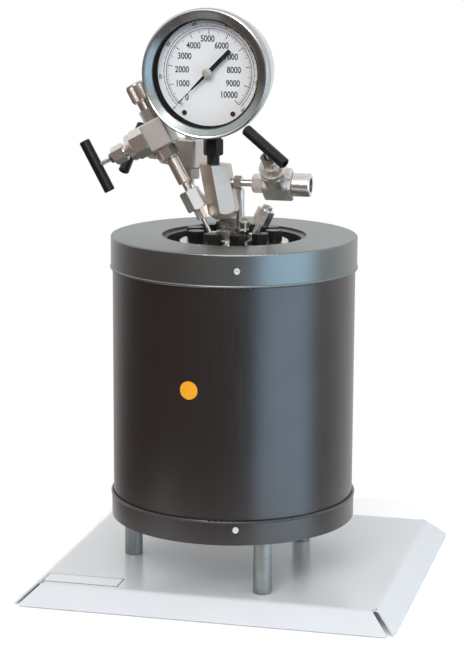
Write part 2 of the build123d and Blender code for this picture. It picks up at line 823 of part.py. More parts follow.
def make_gauge_socket():
    """Stem with a hexagon under the case and the tube holder inside it."""
    neck_top = block_top + socket_neck_height
    hex_top = neck_top + socket_hex_height
    inner_top = gauge_height - bourdon_radius + bourdon_seat
    shape = rod(socket_thread_radius, socket_thread, block_top - socket_thread)
    shape = shape + rod(socket_neck_radius, socket_neck_height, block_top)
    shape = shape + hexagon(socket_hex, socket_hex_height, neck_top, hex_chamfer)
    shape = shape + rod(socket_body_radius, inner_top - hex_top, hex_top)
    return Pos(gauge_x, gauge_y, 0) * shape - make_bourdon_tube()


def make_bourdon_tube():
    """C-shaped pressure tube, brazed into the socket at its lower end."""
    section = Ellipse(bourdon_thickness / 2, bourdon_width / 2)
    face = Plane(origin=(0, -bourdon_radius, 0), x_dir=(0, 1, 0), z_dir=(1, 0, 0)) * section
    tube_shape = revolve(face, Axis.Z, revolution_arc=bourdon_sweep)
    return gauge_axis * Pos(0, 0, -gauge_y) * tube_shape


# ---------------------------------------------------------------- needle valves
# Each valve is drawn about its own centre: flow along X, stem rising along Z.
def left_line_plane():
    """The left riser's axis, leaning to the left from its port."""
    start = (left_port[0] - left_riser_shift, left_port[1])
    return upright_plane(start, head_top + left_riser_rise, left_riser_tilt)


def left_valve_plane():
    line = left_line_plane()
    centre = line.from_local_coords((0, 0, left_body_distance))
    return Plane(origin=centre, x_dir=line.z_dir, z_dir=-line.x_dir)


def right_valve_plane():
    centre = (block_centre_x(right_line_height) + right_body_distance, gauge_y, right_line_height)
    lift = math.radians(right_stem_lift)
    return Plane(origin=centre, x_dir=(1, 0, 0), z_dir=(0, -math.cos(lift), math.sin(lift)))


def rear_valve_plane():
    heading = math.radians(rear_stem_heading)
    return Plane(origin=rear_body, x_dir=(0, 0, 1), z_dir=(math.cos(heading), math.sin(heading), 0))


def make_valve_body():
    block = chamfer(Box(valve_length, valve_width, valve_width).edges(), valve_edge)
    across = Rot(0, 90, 0)
    port = across * rod(valve_port_radius + port_play, valve_port_depth, valve_length / 2 - valve_port_depth)
    block = block - port - Rot(0, 0, 180) * port - across * Cylinder(valve_flow_radius, valve_length)
    well = rod(needle_radius + lift_clearance, valve_width, -seat_depth - lift_clearance)
    socket = rod(bonnet_thread_radius + port_play, bonnet_thread, valve_top - bonnet_thread)
    return block - well - socket


def make_bonnet():
    """Bonnet nut with its screwed foot, locking disc and the neck the gland nut sits on."""
    foot_start = valve_top - bonnet_thread
    disc_start = valve_top + bonnet_height
    neck_start = disc_start + lock_disc_height
    shape = rod(bonnet_thread_radius, bonnet_thread, foot_start)
    shape = shape + hexagon(bonnet_hex, bonnet_height, valve_top, edge_break)
    shape = shape + rod(lock_disc_radius, lock_disc_height, disc_start)
    shape = shape + rod(bonnet_neck_radius, bonnet_neck_height, neck_start)
    shape = shape - rod(needle_radius + stem_play, needle_head - foot_start, foot_start)
    return shape - rod(spindle_radius + stem_play, bonnet_top - needle_head, needle_head)


def make_gland_nut():
    nut = hexagon(gland_nut_hex, gland_nut_height, bonnet_top, hex_chamfer)
    return nut - rod(spindle_radius + stem_play, gland_nut_height, bonnet_top)


def make_needle():
    point = -seat_depth
    return turned([
        (0, point), (needle_tip, point), (needle_radius, point + needle_tip_height),
        (needle_radius, needle_head), (0, needle_head)])


def make_spindle():
    collar = gland_top + lift_clearance
    shape = rod(spindle_radius, collar - needle_head - joint_gap, needle_head + joint_gap)
    shape = shape + rod(spindle_collar_radius, spindle_collar_height, collar)
    neck = collar + spindle_collar_height
    return shape + rod(spindle_neck_radius, handle_reach - neck, neck)


def make_handle(turn):
    """Cross bar with chamfered, hollow ends, drilled for the spindle."""
    bar = chamfer(Cylinder(handle_radius, handle_length).edges(), handle_chamfer)
    socket = rod(handle_socket, handle_socket_depth, handle_length / 2 - handle_socket_depth)
    bar = bar - socket - Rot(180, 0, 0) * socket
    bar = Pos(0, 0, handle_reach) * Rot(0, 90, 0) * bar
    return Rot(0, 0, turn) * (bar - rod(spindle_neck_radius, handle_radius, handle_reach - handle_radius))


# ---------------------------------------------------------------- lines between the head and the valves
def make_left_adapter():
    base = foot(left_stub, left_foot_hex, left_foot_height, left_port)
    sunk = left_foot_height * 2 / 3
    arm = rod(left_arm_radius, left_adapter_start + sunk, -sunk)
    arm = arm + hexagon(left_adapter_hex, left_union_start - left_adapter_start, left_adapter_start)
    arm = arm + rod(thin_line_radius, left_spigot, left_union_start)
    return base + left_line_plane() * arm


def make_left_union_nut():
    nut = Rot(0, 0, 30) * hexagon(left_union_hex, left_union_length, left_union_start, hex_chamfer)
    nut = nut - rod(thin_line_radius + port_play, left_spigot, left_union_start)
    end = left_union_start + left_union_length
    return left_line_plane() * (nut - rod(thin_line_radius + port_play, left_spigot, end - left_spigot))


def make_left_riser():
    end = left_union_start + left_union_length - left_spigot
    body_end = left_body_distance - body_port_floor
    barrel_end = left_barrel_start + left_barrel_length
    shape = rod(thin_line_radius, left_barrel_start - end, end)
    barrel = chamfer(rod(left_barrel_radius, left_barrel_length, left_barrel_start).edges(), edge_break)
    return left_line_plane() * (shape + barrel + rod(valve_port_radius, body_end - barrel_end, barrel_end))


def line_nut(valve_plane, side):
    """Gland nut seated on one end of a valve body; side is 1 or -1 along the flow."""
    nut = hexagon(line_nut_hex, line_nut_length, valve_length / 2, hex_chamfer)
    nut = nut - rod(valve_port_radius + port_play, line_nut_length, valve_length / 2)
    return valve_plane * Rot(0, side * 90, 0) * nut


def make_line_nuts():
    return [line_nut(left_valve_plane(), -1), line_nut(right_valve_plane(), -1), line_nut(rear_valve_plane(), -1)]


def make_left_end_plug():
    """Hexagon adapter and its knurled cap, closing the top of the left valve."""
    start = valve_length / 2
    shape = rod(valve_port_radius, valve_port_depth, start - valve_port_depth)
    neck = start + end_hex_height
    shape = shape + hexagon(end_hex, end_hex_height, start) + rod(end_neck_radius, end_neck_height, neck)
    cap = chamfer(rod(end_cap_radius, end_cap_height, neck + end_neck_height).edges(), hex_chamfer)
    return left_valve_plane() * Rot(0, 90, 0) * (shape + cap)


def make_rear_end_plug():
    start = valve_length / 2
    shape = rod(valve_port_radius, valve_port_depth, start - valve_port_depth)
    shape = shape + hexagon(rear_cap_hex, rear_cap_height, start, edge_break)
    return rear_valve_plane() * Rot(0, 90, 0) * shape


def make_rear_riser():
    """Bent tube from the head up to the rear valve, on a screwed foot."""
    foot_top = head_top + rear_foot_height
    start = (*rear_port, foot_top - rear_tube_radius / 2)
    nut_foot = rear_body[2] - line_nut_end
    points = [start, (*rear_port, foot_top + rear_low_bend), (*rear_body_place, nut_foot - rear_high_bend),
              (*rear_body_place, nut_foot + line_nut_length / 2)]
    pipe = sweep(Pos(*start) * Circle(rear_tube_radius), path=FilletPolyline(*points, radius=rear_bend_radius))
    sleeve = Pos(*rear_body_place, 0) * rod(valve_port_radius, line_nut_end - body_port_floor, nut_foot)
    return foot(rear_stub, rear_foot_hex, rear_foot_height, rear_port) + pipe + sleeve


def make_right_nipple():
    start = block_across_flats / 2 - nipple_depth
    hex_start = block_across_flats / 2 + nipple_gap
    hex_end = hex_start + nipple_hex_height
    nut_end = right_body_distance - line_nut_end
    shape = rod(nipple_stub, hex_start - start, start) + hexagon(nipple_hex, nipple_hex_height, hex_start)
    shape = shape + rod(nipple_radius, nut_end - hex_end, hex_end)
    shape = shape + rod(valve_port_radius, line_nut_end - body_port_floor, nut_end)
    line = Pos(block_centre_x(right_line_height), gauge_y, right_line_height) * Rot(0, 90, 0)
    return line * shape


def make_outlet_connector():
    start = valve_length / 2
    shape = rod(valve_port_radius, valve_port_depth, start - valve_port_depth)
    shape = shape + chamfer(rod(outlet_radius, outlet_length, start).edges(), edge_break)
    shape = shape - rod(outlet_bore, outlet_depth, start + outlet_length - outlet_depth)
    shape = shape - rod(valve_flow_radius, start + outlet_length)
    return right_valve_plane() * Rot(0, 90, 0) * shape


# ---------------------------------------------------------------- write every sub-part
os.makedirs("parts", exist_ok=True)

leg = make_leg()
leg_screw = make_leg_screw()
save("base_tray", make_base_tray(), Pos(0, 0, 0))
save("legs", [Pos(x, y, tray_top) * leg for x, y in leg_places()])
save("leg_screws", [Pos(x, y, floor_top) * leg_screw for x, y in leg_places()]
     + [Pos(x, y, tray_top - tray_sheet) * Rot(180, 0, 0) * leg_screw for x, y in leg_places()])
save("bottom_cover", make_bottom_cover())
save("outer_shell", make_outer_shell())
save("top_cover", make_top_cover())
save("cover_screws", make_cover_screws(casing_bottom + bottom_screw_rise)
     + make_cover_screws(casing_top - top_screw_drop))
save("insulation", make_insulation())
save("hearth_plate", rod(ceramic_radius, hearth_thickness, floor_top))
save("ceramic_heater", make_ceramic_heater())
save("heating_element", make_heating_element())
save("well_liner", make_liner())
save("cord_gland", make_cord_gland())

save("vessel_cup", make_vessel_cup())
save("head_gasket", make_head_gasket())
save("vessel_head", make_vessel_head())
clamp_ring = make_clamp_ring()
save("clamp_ring_left", clamp_half(clamp_ring, -1))
save("clamp_ring_right", clamp_half(clamp_ring, 1))
save("clamp_bolts", make_clamp_bolts())
save("drop_band", make_drop_band())

save("thermowell", make_thermowell())
save("dip_tube", make_dip_tube())
save("rupture_disc_holder", make_rupture_disc_holder())
save("front_fitting", make_front_fitting())
save("spare_port_adapter", make_spare_port_adapter())
save("block_union", make_block_union())
save("gauge_block", make_gauge_block())

save("gauge_socket", make_gauge_socket())
save("bourdon_tube", make_bourdon_tube())
save("gauge_movement", make_movement())
save("gauge_case", make_gauge_case())
save("dial_face", make_dial_face())
save("dial_screws", make_dial_screws())
save("pointer_staff", make_pointer_staff())
save("pointer", make_pointer())
save("gauge_glass", make_gauge_glass())
save("bezel_ring", make_bezel_ring())

save("left_adapter", make_left_adapter())
save("left_union_nut", make_left_union_nut())
save("left_riser", make_left_riser())
save("left_end_plug", make_left_end_plug())
save("right_nipple", make_right_nipple())
save("outlet_connector", make_outlet_connector())
save("rear_riser", make_rear_riser())
save("rear_end_plug", make_rear_end_plug())
save("line_nuts", make_line_nuts())

valves = [
    ("left", left_valve_plane(), left_handle_turn),
    ("right", right_valve_plane(), right_handle_turn),
    ("rear", rear_valve_plane(), rear_handle_turn)]
save("valve_bonnets", [place * make_bonnet() for name, place, turn in valves])
save("valve_gland_nuts", [place * make_gland_nut() for name, place, turn in valves])
for name, place, turn in valves:
    save(name + "_valve_body", place * make_valve_body())
    save(name + "_valve_needle", place * make_needle())
    save(name + "_valve_spindle", place * make_spindle())
    save(name + "_valve_handle", place * make_handle(turn))
    centre = heater_axis * Pos(*place.origin)
    print(name, "valve centre", [round(value, 4) for value in centre.position],
          "stem", [round(value, 6) for value in place.z_dir])
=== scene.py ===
# %% [markdown]
# # A bench hydrothermal reactor
# A thick steel vessel stands in a round electric heater on a folded tray. Its head carries a dial
# gauge and three needle valves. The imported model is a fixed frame, in metres: its pieces already
# have their real size and place. This script gives every surface its finish, and adds the fine
# pieces that a solid model leaves out, such as the printing on the dial.

# %% Load the frame
import json
import math

import bmesh
import bpy
from mathutils import Matrix, Vector


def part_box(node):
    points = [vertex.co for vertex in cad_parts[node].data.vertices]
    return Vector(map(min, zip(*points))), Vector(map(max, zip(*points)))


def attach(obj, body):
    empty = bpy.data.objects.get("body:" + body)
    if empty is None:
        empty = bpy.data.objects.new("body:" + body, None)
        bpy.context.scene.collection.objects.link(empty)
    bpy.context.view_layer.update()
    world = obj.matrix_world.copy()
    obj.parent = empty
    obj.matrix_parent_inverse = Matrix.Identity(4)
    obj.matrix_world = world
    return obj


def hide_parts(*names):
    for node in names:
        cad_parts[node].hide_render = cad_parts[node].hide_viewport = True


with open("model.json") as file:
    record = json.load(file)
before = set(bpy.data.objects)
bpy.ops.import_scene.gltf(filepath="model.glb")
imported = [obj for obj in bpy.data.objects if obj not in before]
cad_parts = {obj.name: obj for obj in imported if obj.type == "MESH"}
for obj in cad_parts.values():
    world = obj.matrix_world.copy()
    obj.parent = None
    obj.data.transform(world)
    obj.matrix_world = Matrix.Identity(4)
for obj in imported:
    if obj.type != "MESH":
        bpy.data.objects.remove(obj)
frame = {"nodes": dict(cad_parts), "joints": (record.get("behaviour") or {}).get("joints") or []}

nodes = frame["nodes"]
joints = {joint["name"]: joint for joint in frame["joints"]}
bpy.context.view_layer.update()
MM = 0.001
print("nodes:", len(nodes), "joints:", sorted(joints))

# %% [markdown]
# A new piece takes its place from the pieces that are already there. The heater's axis is the middle
# of its shell. The dial has a frame of its own, with X to the right, Y up and Z towards the reader,
# so that its printing can be laid out as on paper and then stood up with one matrix.

# %% Measure the frame
def middle(node):
    low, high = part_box(node)
    return (low + high) / 2


heater_axis = Vector((middle("outer_shell").x, middle("outer_shell").y, 0))
shell_radius = (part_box("outer_shell")[1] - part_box("outer_shell")[0]).x / 2
dial_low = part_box("dial_face")[0]
dial_centre = Vector((middle("dial_face").x, dial_low.y, middle("dial_face").z))
dial_frame = Matrix.Translation(dial_centre) @ Matrix.Rotation(math.pi / 2, 4, "X")
print("heater axis:", [round(value, 4) for value in heater_axis], "shell radius:", round(shell_radius, 4))
print("dial centre:", [round(value, 4) for value in dial_centre])

# %% [markdown]
# ## Finishes
# Two helpers serve every material. One turns a sRGB hex colour to linear values. The other adds a
# node, sets its properties and links its sockets, so that a material reads as a short list. Patterns
# are set out in millimetres on the object's own place, so they stay where they are when a piece moves.

# %% Helpers for materials
def colour(hex_code):
    """A sRGB hex colour as linear RGBA."""
    channels = [int(hex_code[start:start + 2], 16) / 255 for start in (1, 3, 5)]
    linear = [value / 12.92 if value <= 0.04045 else ((value + 0.055) / 1.055) ** 2.4
              for value in channels]
    return (*linear, 1.0)


def add(tree, kind, inputs=None, **settings):
    """A node of that kind: inputs sets or links its sockets, and settings its properties."""
    node = tree.nodes.new(kind)
    for name, value in settings.items():
        setattr(node, name, value)
    for socket, value in (inputs or {}).items():
        if isinstance(value, bpy.types.NodeSocket):
            tree.links.new(value, node.inputs[socket])
        else:
            node.inputs[socket].default_value = value
    return node


def start_material(name):
    """A new material with an empty tree, and the object's own place as a vector."""
    material = bpy.data.materials.new(name)
    material.use_nodes = True
    tree = material.node_tree
    tree.nodes.clear()
    return material, tree, add(tree, "ShaderNodeTexCoord").outputs["Object"]


print("material helpers ready")

# %% [markdown]
# The heater's shell and covers are thin black sheet. From outside it can't be told whether it is baked
# enamel or anodised aluminium, and the solid model's own record says enamel. It is drawn here as
# anodised aluminium, a dark metal, because that reaches a bright streak under a softer lamp: nearly
# black where it mirrors the dim room, blue-grey where it mirrors a lamp. The sheet's rolling lines run
# upright and spread that reflection sideways. They are noise squeezed along the axis. Real lines are
# about 0.1 mm across and would vanish at this size, so they are drawn 0.8 mm across and 50 mm long.

# %% Black anodised aluminium
def make_black_anodised(name, dark, light, gloss_range):
    material, tree, place = start_material(name)
    line_width = 0.8 * MM
    line_length = 50 * MM
    line_depth = 0.002 * MM
    cloud_size = 45 * MM
    squeezed = add(tree, "ShaderNodeMapping", {"Vector": place, "Scale": (1, 1, line_width / line_length)})
    lines = add(tree, "ShaderNodeTexNoise", {
        "Vector": squeezed.outputs[0], "Scale": 1 / line_width, "Detail": 2})
    clouds = add(tree, "ShaderNodeTexNoise", {"Vector": place, "Scale": 1 / cloud_size, "Detail": 4})
    tone_and_sheen = add(tree, "ShaderNodeMix", {
        "Factor": clouds.outputs[0], 6: colour(dark), 7: colour(light)}, data_type="RGBA")
    gloss = add(tree, "ShaderNodeMapRange", {
        "Value": lines.outputs[0], "From Min": 0.3, "From Max": 0.7,
        "To Min": gloss_range[0], "To Max": gloss_range[1]})
    relief = add(tree, "ShaderNodeBump", {
        "Height": lines.outputs[0], "Distance": line_depth, "Strength": 0.5})
    shader = add(tree, "ShaderNodeBsdfPrincipled", {
        "Base Color": tone_and_sheen.outputs[2], "Roughness": gloss.outputs[0],
        "Normal": relief.outputs[0], "Metallic": 1.0})
    add(tree, "ShaderNodeOutputMaterial", {"Surface": shader.outputs[0]})
    return material


# Deep dye on the shell: almost black, with a broad soft streak of light down the curve.
black_anodised = make_black_anodised("black_anodised_aluminium", "#545352", "#5e5c5b", (0.31, 0.36))
# The same finish with a lighter, greyer metal colour and a little more matt, on the top cover and the well
# liner. The lighter colour is painted sheen: it makes the cover's top and rim brighter than the shell, so
# the rim parts from it.
cover_anodised_painted_sheen = make_black_anodised("anodised_with_painted_sheen", "#757b7a", "#818786", (0.33, 0.38))
print("finishes:", black_anodised.name, cover_anodised_painted_sheen.name)

# %% [markdown]
# The tray is folded steel with a pale grey powder coat. The powder melts to a thick skin with a soft
# orange peel about 2 mm across. That gives the eye an even, cool white with a low gloss, in which the
# legs show as dim streaks. Slow clouds 90 mm across keep the flat top from looking like paper.

# %% Powder coat
def make_powder_coat():
    material, tree, place = start_material("grey_powder_coat")
    cloud_size = 90 * MM
    peel_size = 2.2 * MM
    peel_depth = 0.012 * MM
    clouds = add(tree, "ShaderNodeTexNoise", {"Vector": place, "Scale": 1 / cloud_size, "Detail": 3})
    peel = add(tree, "ShaderNodeTexNoise", {"Vector": place, "Scale": 1 / peel_size, "Detail": 1})
    coat = add(tree, "ShaderNodeMix", {
        "Factor": clouds.outputs[0], 6: colour("#c9cbce"), 7: colour("#d0d2d4")}, data_type="RGBA")
    gloss = add(tree, "ShaderNodeMapRange", {
        "Value": clouds.outputs[0], "From Min": 0.3, "From Max": 0.7, "To Min": 0.16, "To Max": 0.24})
    relief = add(tree, "ShaderNodeBump", {
        "Height": peel.outputs[0], "Distance": peel_depth, "Strength": 0.4})
    shader = add(tree, "ShaderNodeBsdfPrincipled", {
        "Base Color": coat.outputs[2], "Roughness": gloss.outputs[0],
        "Normal": relief.outputs[0], "IOR": 1.5})
    add(tree, "ShaderNodeOutputMaterial", {"Surface": shader.outputs[0]})
    return material


powder_coat = make_powder_coat()
print("finish:", powder_coat.name)

# %% [markdown]
# Steel and its kin share one recipe. A first noise, 8 mm across, stains the colour in patches. A second
# one, squeezed along the direction of the tool, makes the turning or grinding lines, and those lines
# drive both the gloss and a very low relief. Real tool lines are 0.02 to 0.1 mm apart, too fine to show
# here, so they are drawn about 0.5 mm across. What differs from one metal to the next is the colour,
# the gloss and the way the lines run.

# %% Recipe for worked metal
def make_metal(name, dark, light, gloss_range, line_width, stretch, line_depth=0.008 * MM, metallic=1.0):
    """Worked metal whose lines are line_width across and run along the axis where stretch is small."""
    material, tree, place = start_material(name)
    stain_size = 8 * MM
    squeezed = add(tree, "ShaderNodeMapping", {"Vector": place, "Scale": stretch})
    lines = add(tree, "ShaderNodeTexNoise", {
        "Vector": squeezed.outputs[0], "Scale": 1 / line_width, "Detail": 2})
    stains = add(tree, "ShaderNodeTexNoise", {"Vector": place, "Scale": 1 / stain_size, "Detail": 3})
    metal = add(tree, "ShaderNodeMix", {
        "Factor": stains.outputs[0], 6: colour(dark), 7: colour(light)}, data_type="RGBA")
    gloss = add(tree, "ShaderNodeMapRange", {
        "Value": lines.outputs[0], "From Min": 0.3, "From Max": 0.7,
        "To Min": gloss_range[0], "To Max": gloss_range[1]})
    relief = add(tree, "ShaderNodeBump", {
        "Height": lines.outputs[0], "Distance": line_depth, "Strength": 0.5})
    shader = add(tree, "ShaderNodeBsdfPrincipled", {
        "Base Color": metal.outputs[2], "Roughness": gloss.outputs[0],
        "Normal": relief.outputs[0], "Metallic": metallic})
    add(tree, "ShaderNodeOutputMaterial", {"Surface": shader.outputs[0]})
    return material


print("recipe for worked metal ready")

# %% [markdown]
# The vessel and its fittings are stainless steel. How each part was worked decides how it shines: a
# lathe leaves it bright, a grinder leaves it grey and soft, and heat or oil darkens it.

# %% Stainless steels
line_round = (1, 1, 2.5)
line_upright = (1, 1, 0.05)
line_plain = (1, 1, 1)

# Lathe-turned stainless: bright and slightly warm, with lines that break up each long highlight.
turned_steel = make_metal("turned_stainless", "#cbc6c0", "#dedad4", (0.22, 0.34), 0.5 * MM, line_round)
# Ground stainless: upright grinding lines make blocks greyer, and their faces look soft and even.
milled_steel = make_metal("ground_stainless", "#c6c1bc", "#d8d4cf", (0.42, 0.54), 0.4 * MM, line_upright)
# Ground stainless with a warmed base, for the gauge block alone. The real block is plain steel: its
# broad faces catch the blue lamp, and the warmth offsets that. In neutral light it looks a little warm.
block_steel = make_metal("warm_ground_stainless", "#bab0a6", "#cac0b6", (0.4, 0.52), 0.4 * MM, line_upright)
# Oiled stainless: a dark film of oil that still glints, as on a nut that is often undone.
dark_steel = make_metal("oiled_stainless", "#5b5956", "#77746f", (0.2, 0.32), 0.5 * MM, line_round)
# Polished steel: a near mirror with small sharp highlights, for stems that slide through packing.
bright_steel = make_metal("polished_steel", "#d0cfcd", "#e2e1df", (0.08, 0.16), 0.6 * MM, line_plain)
print("stainless:", turned_steel.name, milled_steel.name, dark_steel.name, bright_steel.name)

# %% [markdown]
# The other metals differ from stainless steel in colour first. Drawing through a die leaves lines along
# the length of a bar or tube, so the lines are squeezed along that axis.

# %% Other metals
# Drawn steel bar: cool grey and dull, with a grain up each leg.
leg_steel = make_metal("drawn_steel_bar", "#7f8382", "#9ea2a1", (0.34, 0.46), 0.6 * MM, (1, 1, 0.08))
# Deep-drawn case: pale and rather glossy, grained from back to front. On the bezel's bead the same pale
# finish is a painted highlight.
case_steel_and_highlight = make_metal("drawn_steel_case_and_highlight", "#bcc0c0", "#d6d9d9", (0.16, 0.26), 0.6 * MM, (1, 0.1, 1))
# Bright zinc plate: small screws that read as white dots. Real zinc is wholly metallic; it is drawn
# half metallic, so that heads a few pixels wide stay pale instead of mirroring the dim room.
zinc_plate = make_metal("bright_zinc_plate", "#e4e4e6", "#f0f0f1", (0.3, 0.4), 0.5 * MM, line_plain,
                        metallic=0.5)
# Oxidised heating ribbon: brown-grey and matt from long heat.
ribbon_steel = make_metal("oxidised_ribbon", "#4d4542", "#5f5651", (0.5, 0.62), 0.6 * MM, (1, 1, 3),
                          line_depth=0.01 * MM, metallic=0.8)
# Yellow brass plates: warm and clean, with lines from front to back.
yellow_brass = make_metal("yellow_brass", "#b08f4c", "#c7a762", (0.24, 0.34), 0.5 * MM, (1, 0.1, 1))
# Drawn bronze tube: browner and duller than brass.
tube_bronze = make_metal("drawn_bronze", "#8a6f47", "#a1865a", (0.26, 0.36), 0.5 * MM, line_plain)
print("other metals:", leg_steel.name, case_steel_and_highlight.name, zinc_plate.name, yellow_brass.name)

# %% [markdown]
# The T-bars, the clamp bolts and the gauge's stem are blackened steel: a thin oxide skin that stays near
# black and shines where it is handled. It is drawn as a dark, partly metallic surface, so that its
# highlights stay neutral, with small patches that are a little more worn.

# %% Black oxide
# Black oxide on steel: deep black with a low oily gleam.
black_oxide = make_metal("black_oxide", "#0f0f10", "#1f1f20", (0.26, 0.42), 0.7 * MM, line_plain,
                         metallic=0.35)
print("finish:", black_oxide.name)

# %% [markdown]
# The bezel is stainless, turned in a lathe and left satin, so its lines are rings about the dial's axis
# and its highlights gather in two fans. The distance from that axis drives a sine wave. Real rings are
# about 0.1 mm apart, and are drawn 0.7 mm apart so that they show.

# %% Turned bezel
def make_bezel_finish():
    material, tree, place = start_material("turned_bezel_steel")
    ring_pitch = 0.7 * MM
    ring_depth = 0.004 * MM
    stain_size = 14 * MM
    centred = add(tree, "ShaderNodeVectorMath", {0: place, 1: dial_centre}, operation="SUBTRACT")
    flat = add(tree, "ShaderNodeVectorMath", {0: centred.outputs[0], 1: (1, 0, 1)}, operation="MULTIPLY")
    radius = add(tree, "ShaderNodeVectorMath", {0: flat.outputs[0]}, operation="LENGTH")
    phase = add(tree, "ShaderNodeMath", {
        0: radius.outputs["Value"], 1: 2 * math.pi / ring_pitch}, operation="MULTIPLY")
    rings = add(tree, "ShaderNodeMath", {0: phase.outputs[0]}, operation="SINE")
    stains = add(tree, "ShaderNodeTexNoise", {"Vector": place, "Scale": 1 / stain_size, "Detail": 3})
    metal = add(tree, "ShaderNodeMix", {
        "Factor": stains.outputs[0], 6: colour("#8b9391"), 7: colour("#a3aaa7")}, data_type="RGBA")
    gloss = add(tree, "ShaderNodeMapRange", {
        "Value": stains.outputs[0], "From Min": 0.3, "From Max": 0.7, "To Min": 0.2, "To Max": 0.3})
    relief = add(tree, "ShaderNodeBump", {
        "Height": rings.outputs[0], "Distance": ring_depth, "Strength": 0.5})
    shader = add(tree, "ShaderNodeBsdfPrincipled", {
        "Base Color": metal.outputs[2], "Roughness": gloss.outputs[0],
        "Normal": relief.outputs[0], "Metallic": 1.0})
    add(tree, "ShaderNodeOutputMaterial", {"Surface": shader.outputs[0]})
    return material


bezel_finish = make_bezel_finish()
print("finish:", bezel_finish.name)

# %% [markdown]
# Paints, plastics and ceramics share a second recipe: two near colours in patches of one size, a gloss
# that follows the patches, and a finer grain as relief. The grain of enamel and paint is finer in
# truth, a tenth of a millimetre or so, and is drawn coarser here so that it just breaks the gloss.

# %% Recipe for dull surfaces
def make_dull(name, dark, light, roughness, patch, grain, grain_depth, shine=0.5):
    """A surface without metal: patches of two colours, with a grain of its own size and depth."""
    material, tree, place = start_material(name)
    patches = add(tree, "ShaderNodeTexNoise", {"Vector": place, "Scale": 1 / patch, "Detail": 3})
    grains = add(tree, "ShaderNodeTexNoise", {"Vector": place, "Scale": 1 / grain, "Detail": 2})
    body = add(tree, "ShaderNodeMix", {
        "Factor": patches.outputs[0], 6: colour(dark), 7: colour(light)}, data_type="RGBA")
    gloss = add(tree, "ShaderNodeMapRange", {
        "Value": patches.outputs[0], "From Min": 0.3, "From Max": 0.7,
        "To Min": roughness - 0.05, "To Max": roughness + 0.05})
    relief = add(tree, "ShaderNodeBump", {
        "Height": grains.outputs[0], "Distance": grain_depth, "Strength": 0.5})
    shader = add(tree, "ShaderNodeBsdfPrincipled", {
        "Base Color": body.outputs[2], "Roughness": gloss.outputs[0],
        "Normal": relief.outputs[0], "Specular IOR Level": shine})
    add(tree, "ShaderNodeOutputMaterial", {"Surface": shader.outputs[0]})
    return material


print("recipe for dull surfaces ready")

# %% [markdown]
# The gauge is made to be read, so its finishes are chosen for contrast: a white ground, dark marks and a
# pointer that throws no glare.

# %% Finishes of the dial
# Baked enamel on the dial plate: clean white, half glossy.
dial_enamel = make_dull("white_dial_enamel", "#f8fafb", "#fbfcfd", 0.4, 20 * MM, 2 * MM, 0.002 * MM)
# Screen-printed ink: a soft blue-black that never quite reaches black.
dial_ink = make_dull("dark_dial_ink", "#262a2e", "#30343a", 0.5, 4 * MM, 1 * MM, 0.002 * MM)
# Matt sprayed paint on the pointer: flat black. Its shine is drawn below that of real paint, so that
# it stays black behind the glass.
pointer_paint = make_dull("matt_black_paint", "#0c0d0e", "#151617", 0.5, 6 * MM, 1 * MM, 0.004 * MM, 0.25)
# Moulded rubber: the blackest thing on the gauge. Its shine is drawn below that of real rubber. The same
# black also paints the shade in the dial's recess, on the ring between glass and dial.
black_rubber_and_shade = make_dull("black_rubber_and_shade", "#08090a", "#101112", 0.7, 5 * MM, 0.8 * MM, 0.01 * MM, 0.05)
print("dial finishes:", dial_enamel.name, dial_ink.name, pointer_paint.name, black_rubber_and_shade.name)

# %% [markdown]
# The heater's inner parts are mineral and plain. They only show when the reactor is taken apart, but
# each still needs to read as what it is.

# %% Ceramics, plastics and films
# Fired ceramic: a rough, sandy cream, speckled by the kiln.
fired_ceramic = make_dull("fired_ceramic", "#bdb39d", "#d2cab7", 0.8, 12 * MM, 1.5 * MM, 0.06 * MM)
# Ceramic fibre: a soft white felt with a deep fuzz.
ceramic_fibre = make_dull("ceramic_fibre", "#d9d6cb", "#ece9df", 0.9, 6 * MM, 0.8 * MM, 0.3 * MM)
# Pressed graphite: dark grey with a faint pencil sheen.
graphite = make_dull("pressed_graphite", "#1b1b1c", "#2a2a2b", 0.55, 4 * MM, 0.5 * MM, 0.02 * MM)
# Moulded nylon: black with a soft satin skin from the mould.
moulded_nylon = make_dull("moulded_nylon", "#151515", "#202020", 0.45, 5 * MM, 0.7 * MM, 0.02 * MM)
# Coloured polyester film: flat, warm amber that stands out on the black casing.
amber_film = make_dull("amber_film", "#ee9d16", "#f5ab2a", 0.4, 10 * MM, 2 * MM, 0.004 * MM)
# Pale polyester film: one shade cooler and flatter than the powder coat round it.
label_film = make_dull("pale_label_film", "#d5d9dc", "#dde1e3", 0.35, 12 * MM, 2 * MM, 0.004 * MM)
print("ceramics and films:", fired_ceramic.name, ceramic_fibre.name, amber_film.name)

# %% [markdown]
# The window is flat clear glass. A see-through surface with a low alpha keeps the dial crisp and still
# catches a faint gleam, and faint smears 25 mm across vary its gloss. Its colour is dark, where real
# glass has none, because a pale one lays a grey veil over the black pointer.

# %% Window glass
def make_window_glass():
    material, tree, place = start_material("flat_clear_glass")
    smear_size = 25 * MM
    smears = add(tree, "ShaderNodeTexNoise", {"Vector": place, "Scale": 1 / smear_size, "Detail": 2})
    gloss = add(tree, "ShaderNodeMapRange", {
        "Value": smears.outputs[0], "From Min": 0.3, "From Max": 0.7, "To Min": 0.01, "To Max": 0.06})
    shader = add(tree, "ShaderNodeBsdfPrincipled", {
        "Base Color": colour("#2a3233"), "Roughness": gloss.outputs[0], "IOR": 1.5, "Alpha": 0.05})
    add(tree, "ShaderNodeOutputMaterial", {"Surface": shader.outputs[0]})
    return material


window_glass = make_window_glass()
print("finish:", window_glass.name)

# %% [markdown]
# Every solid piece whose shape is right keeps its mesh and gets its finish in its material slots. One
# table pairs each finish with the pieces that have it.

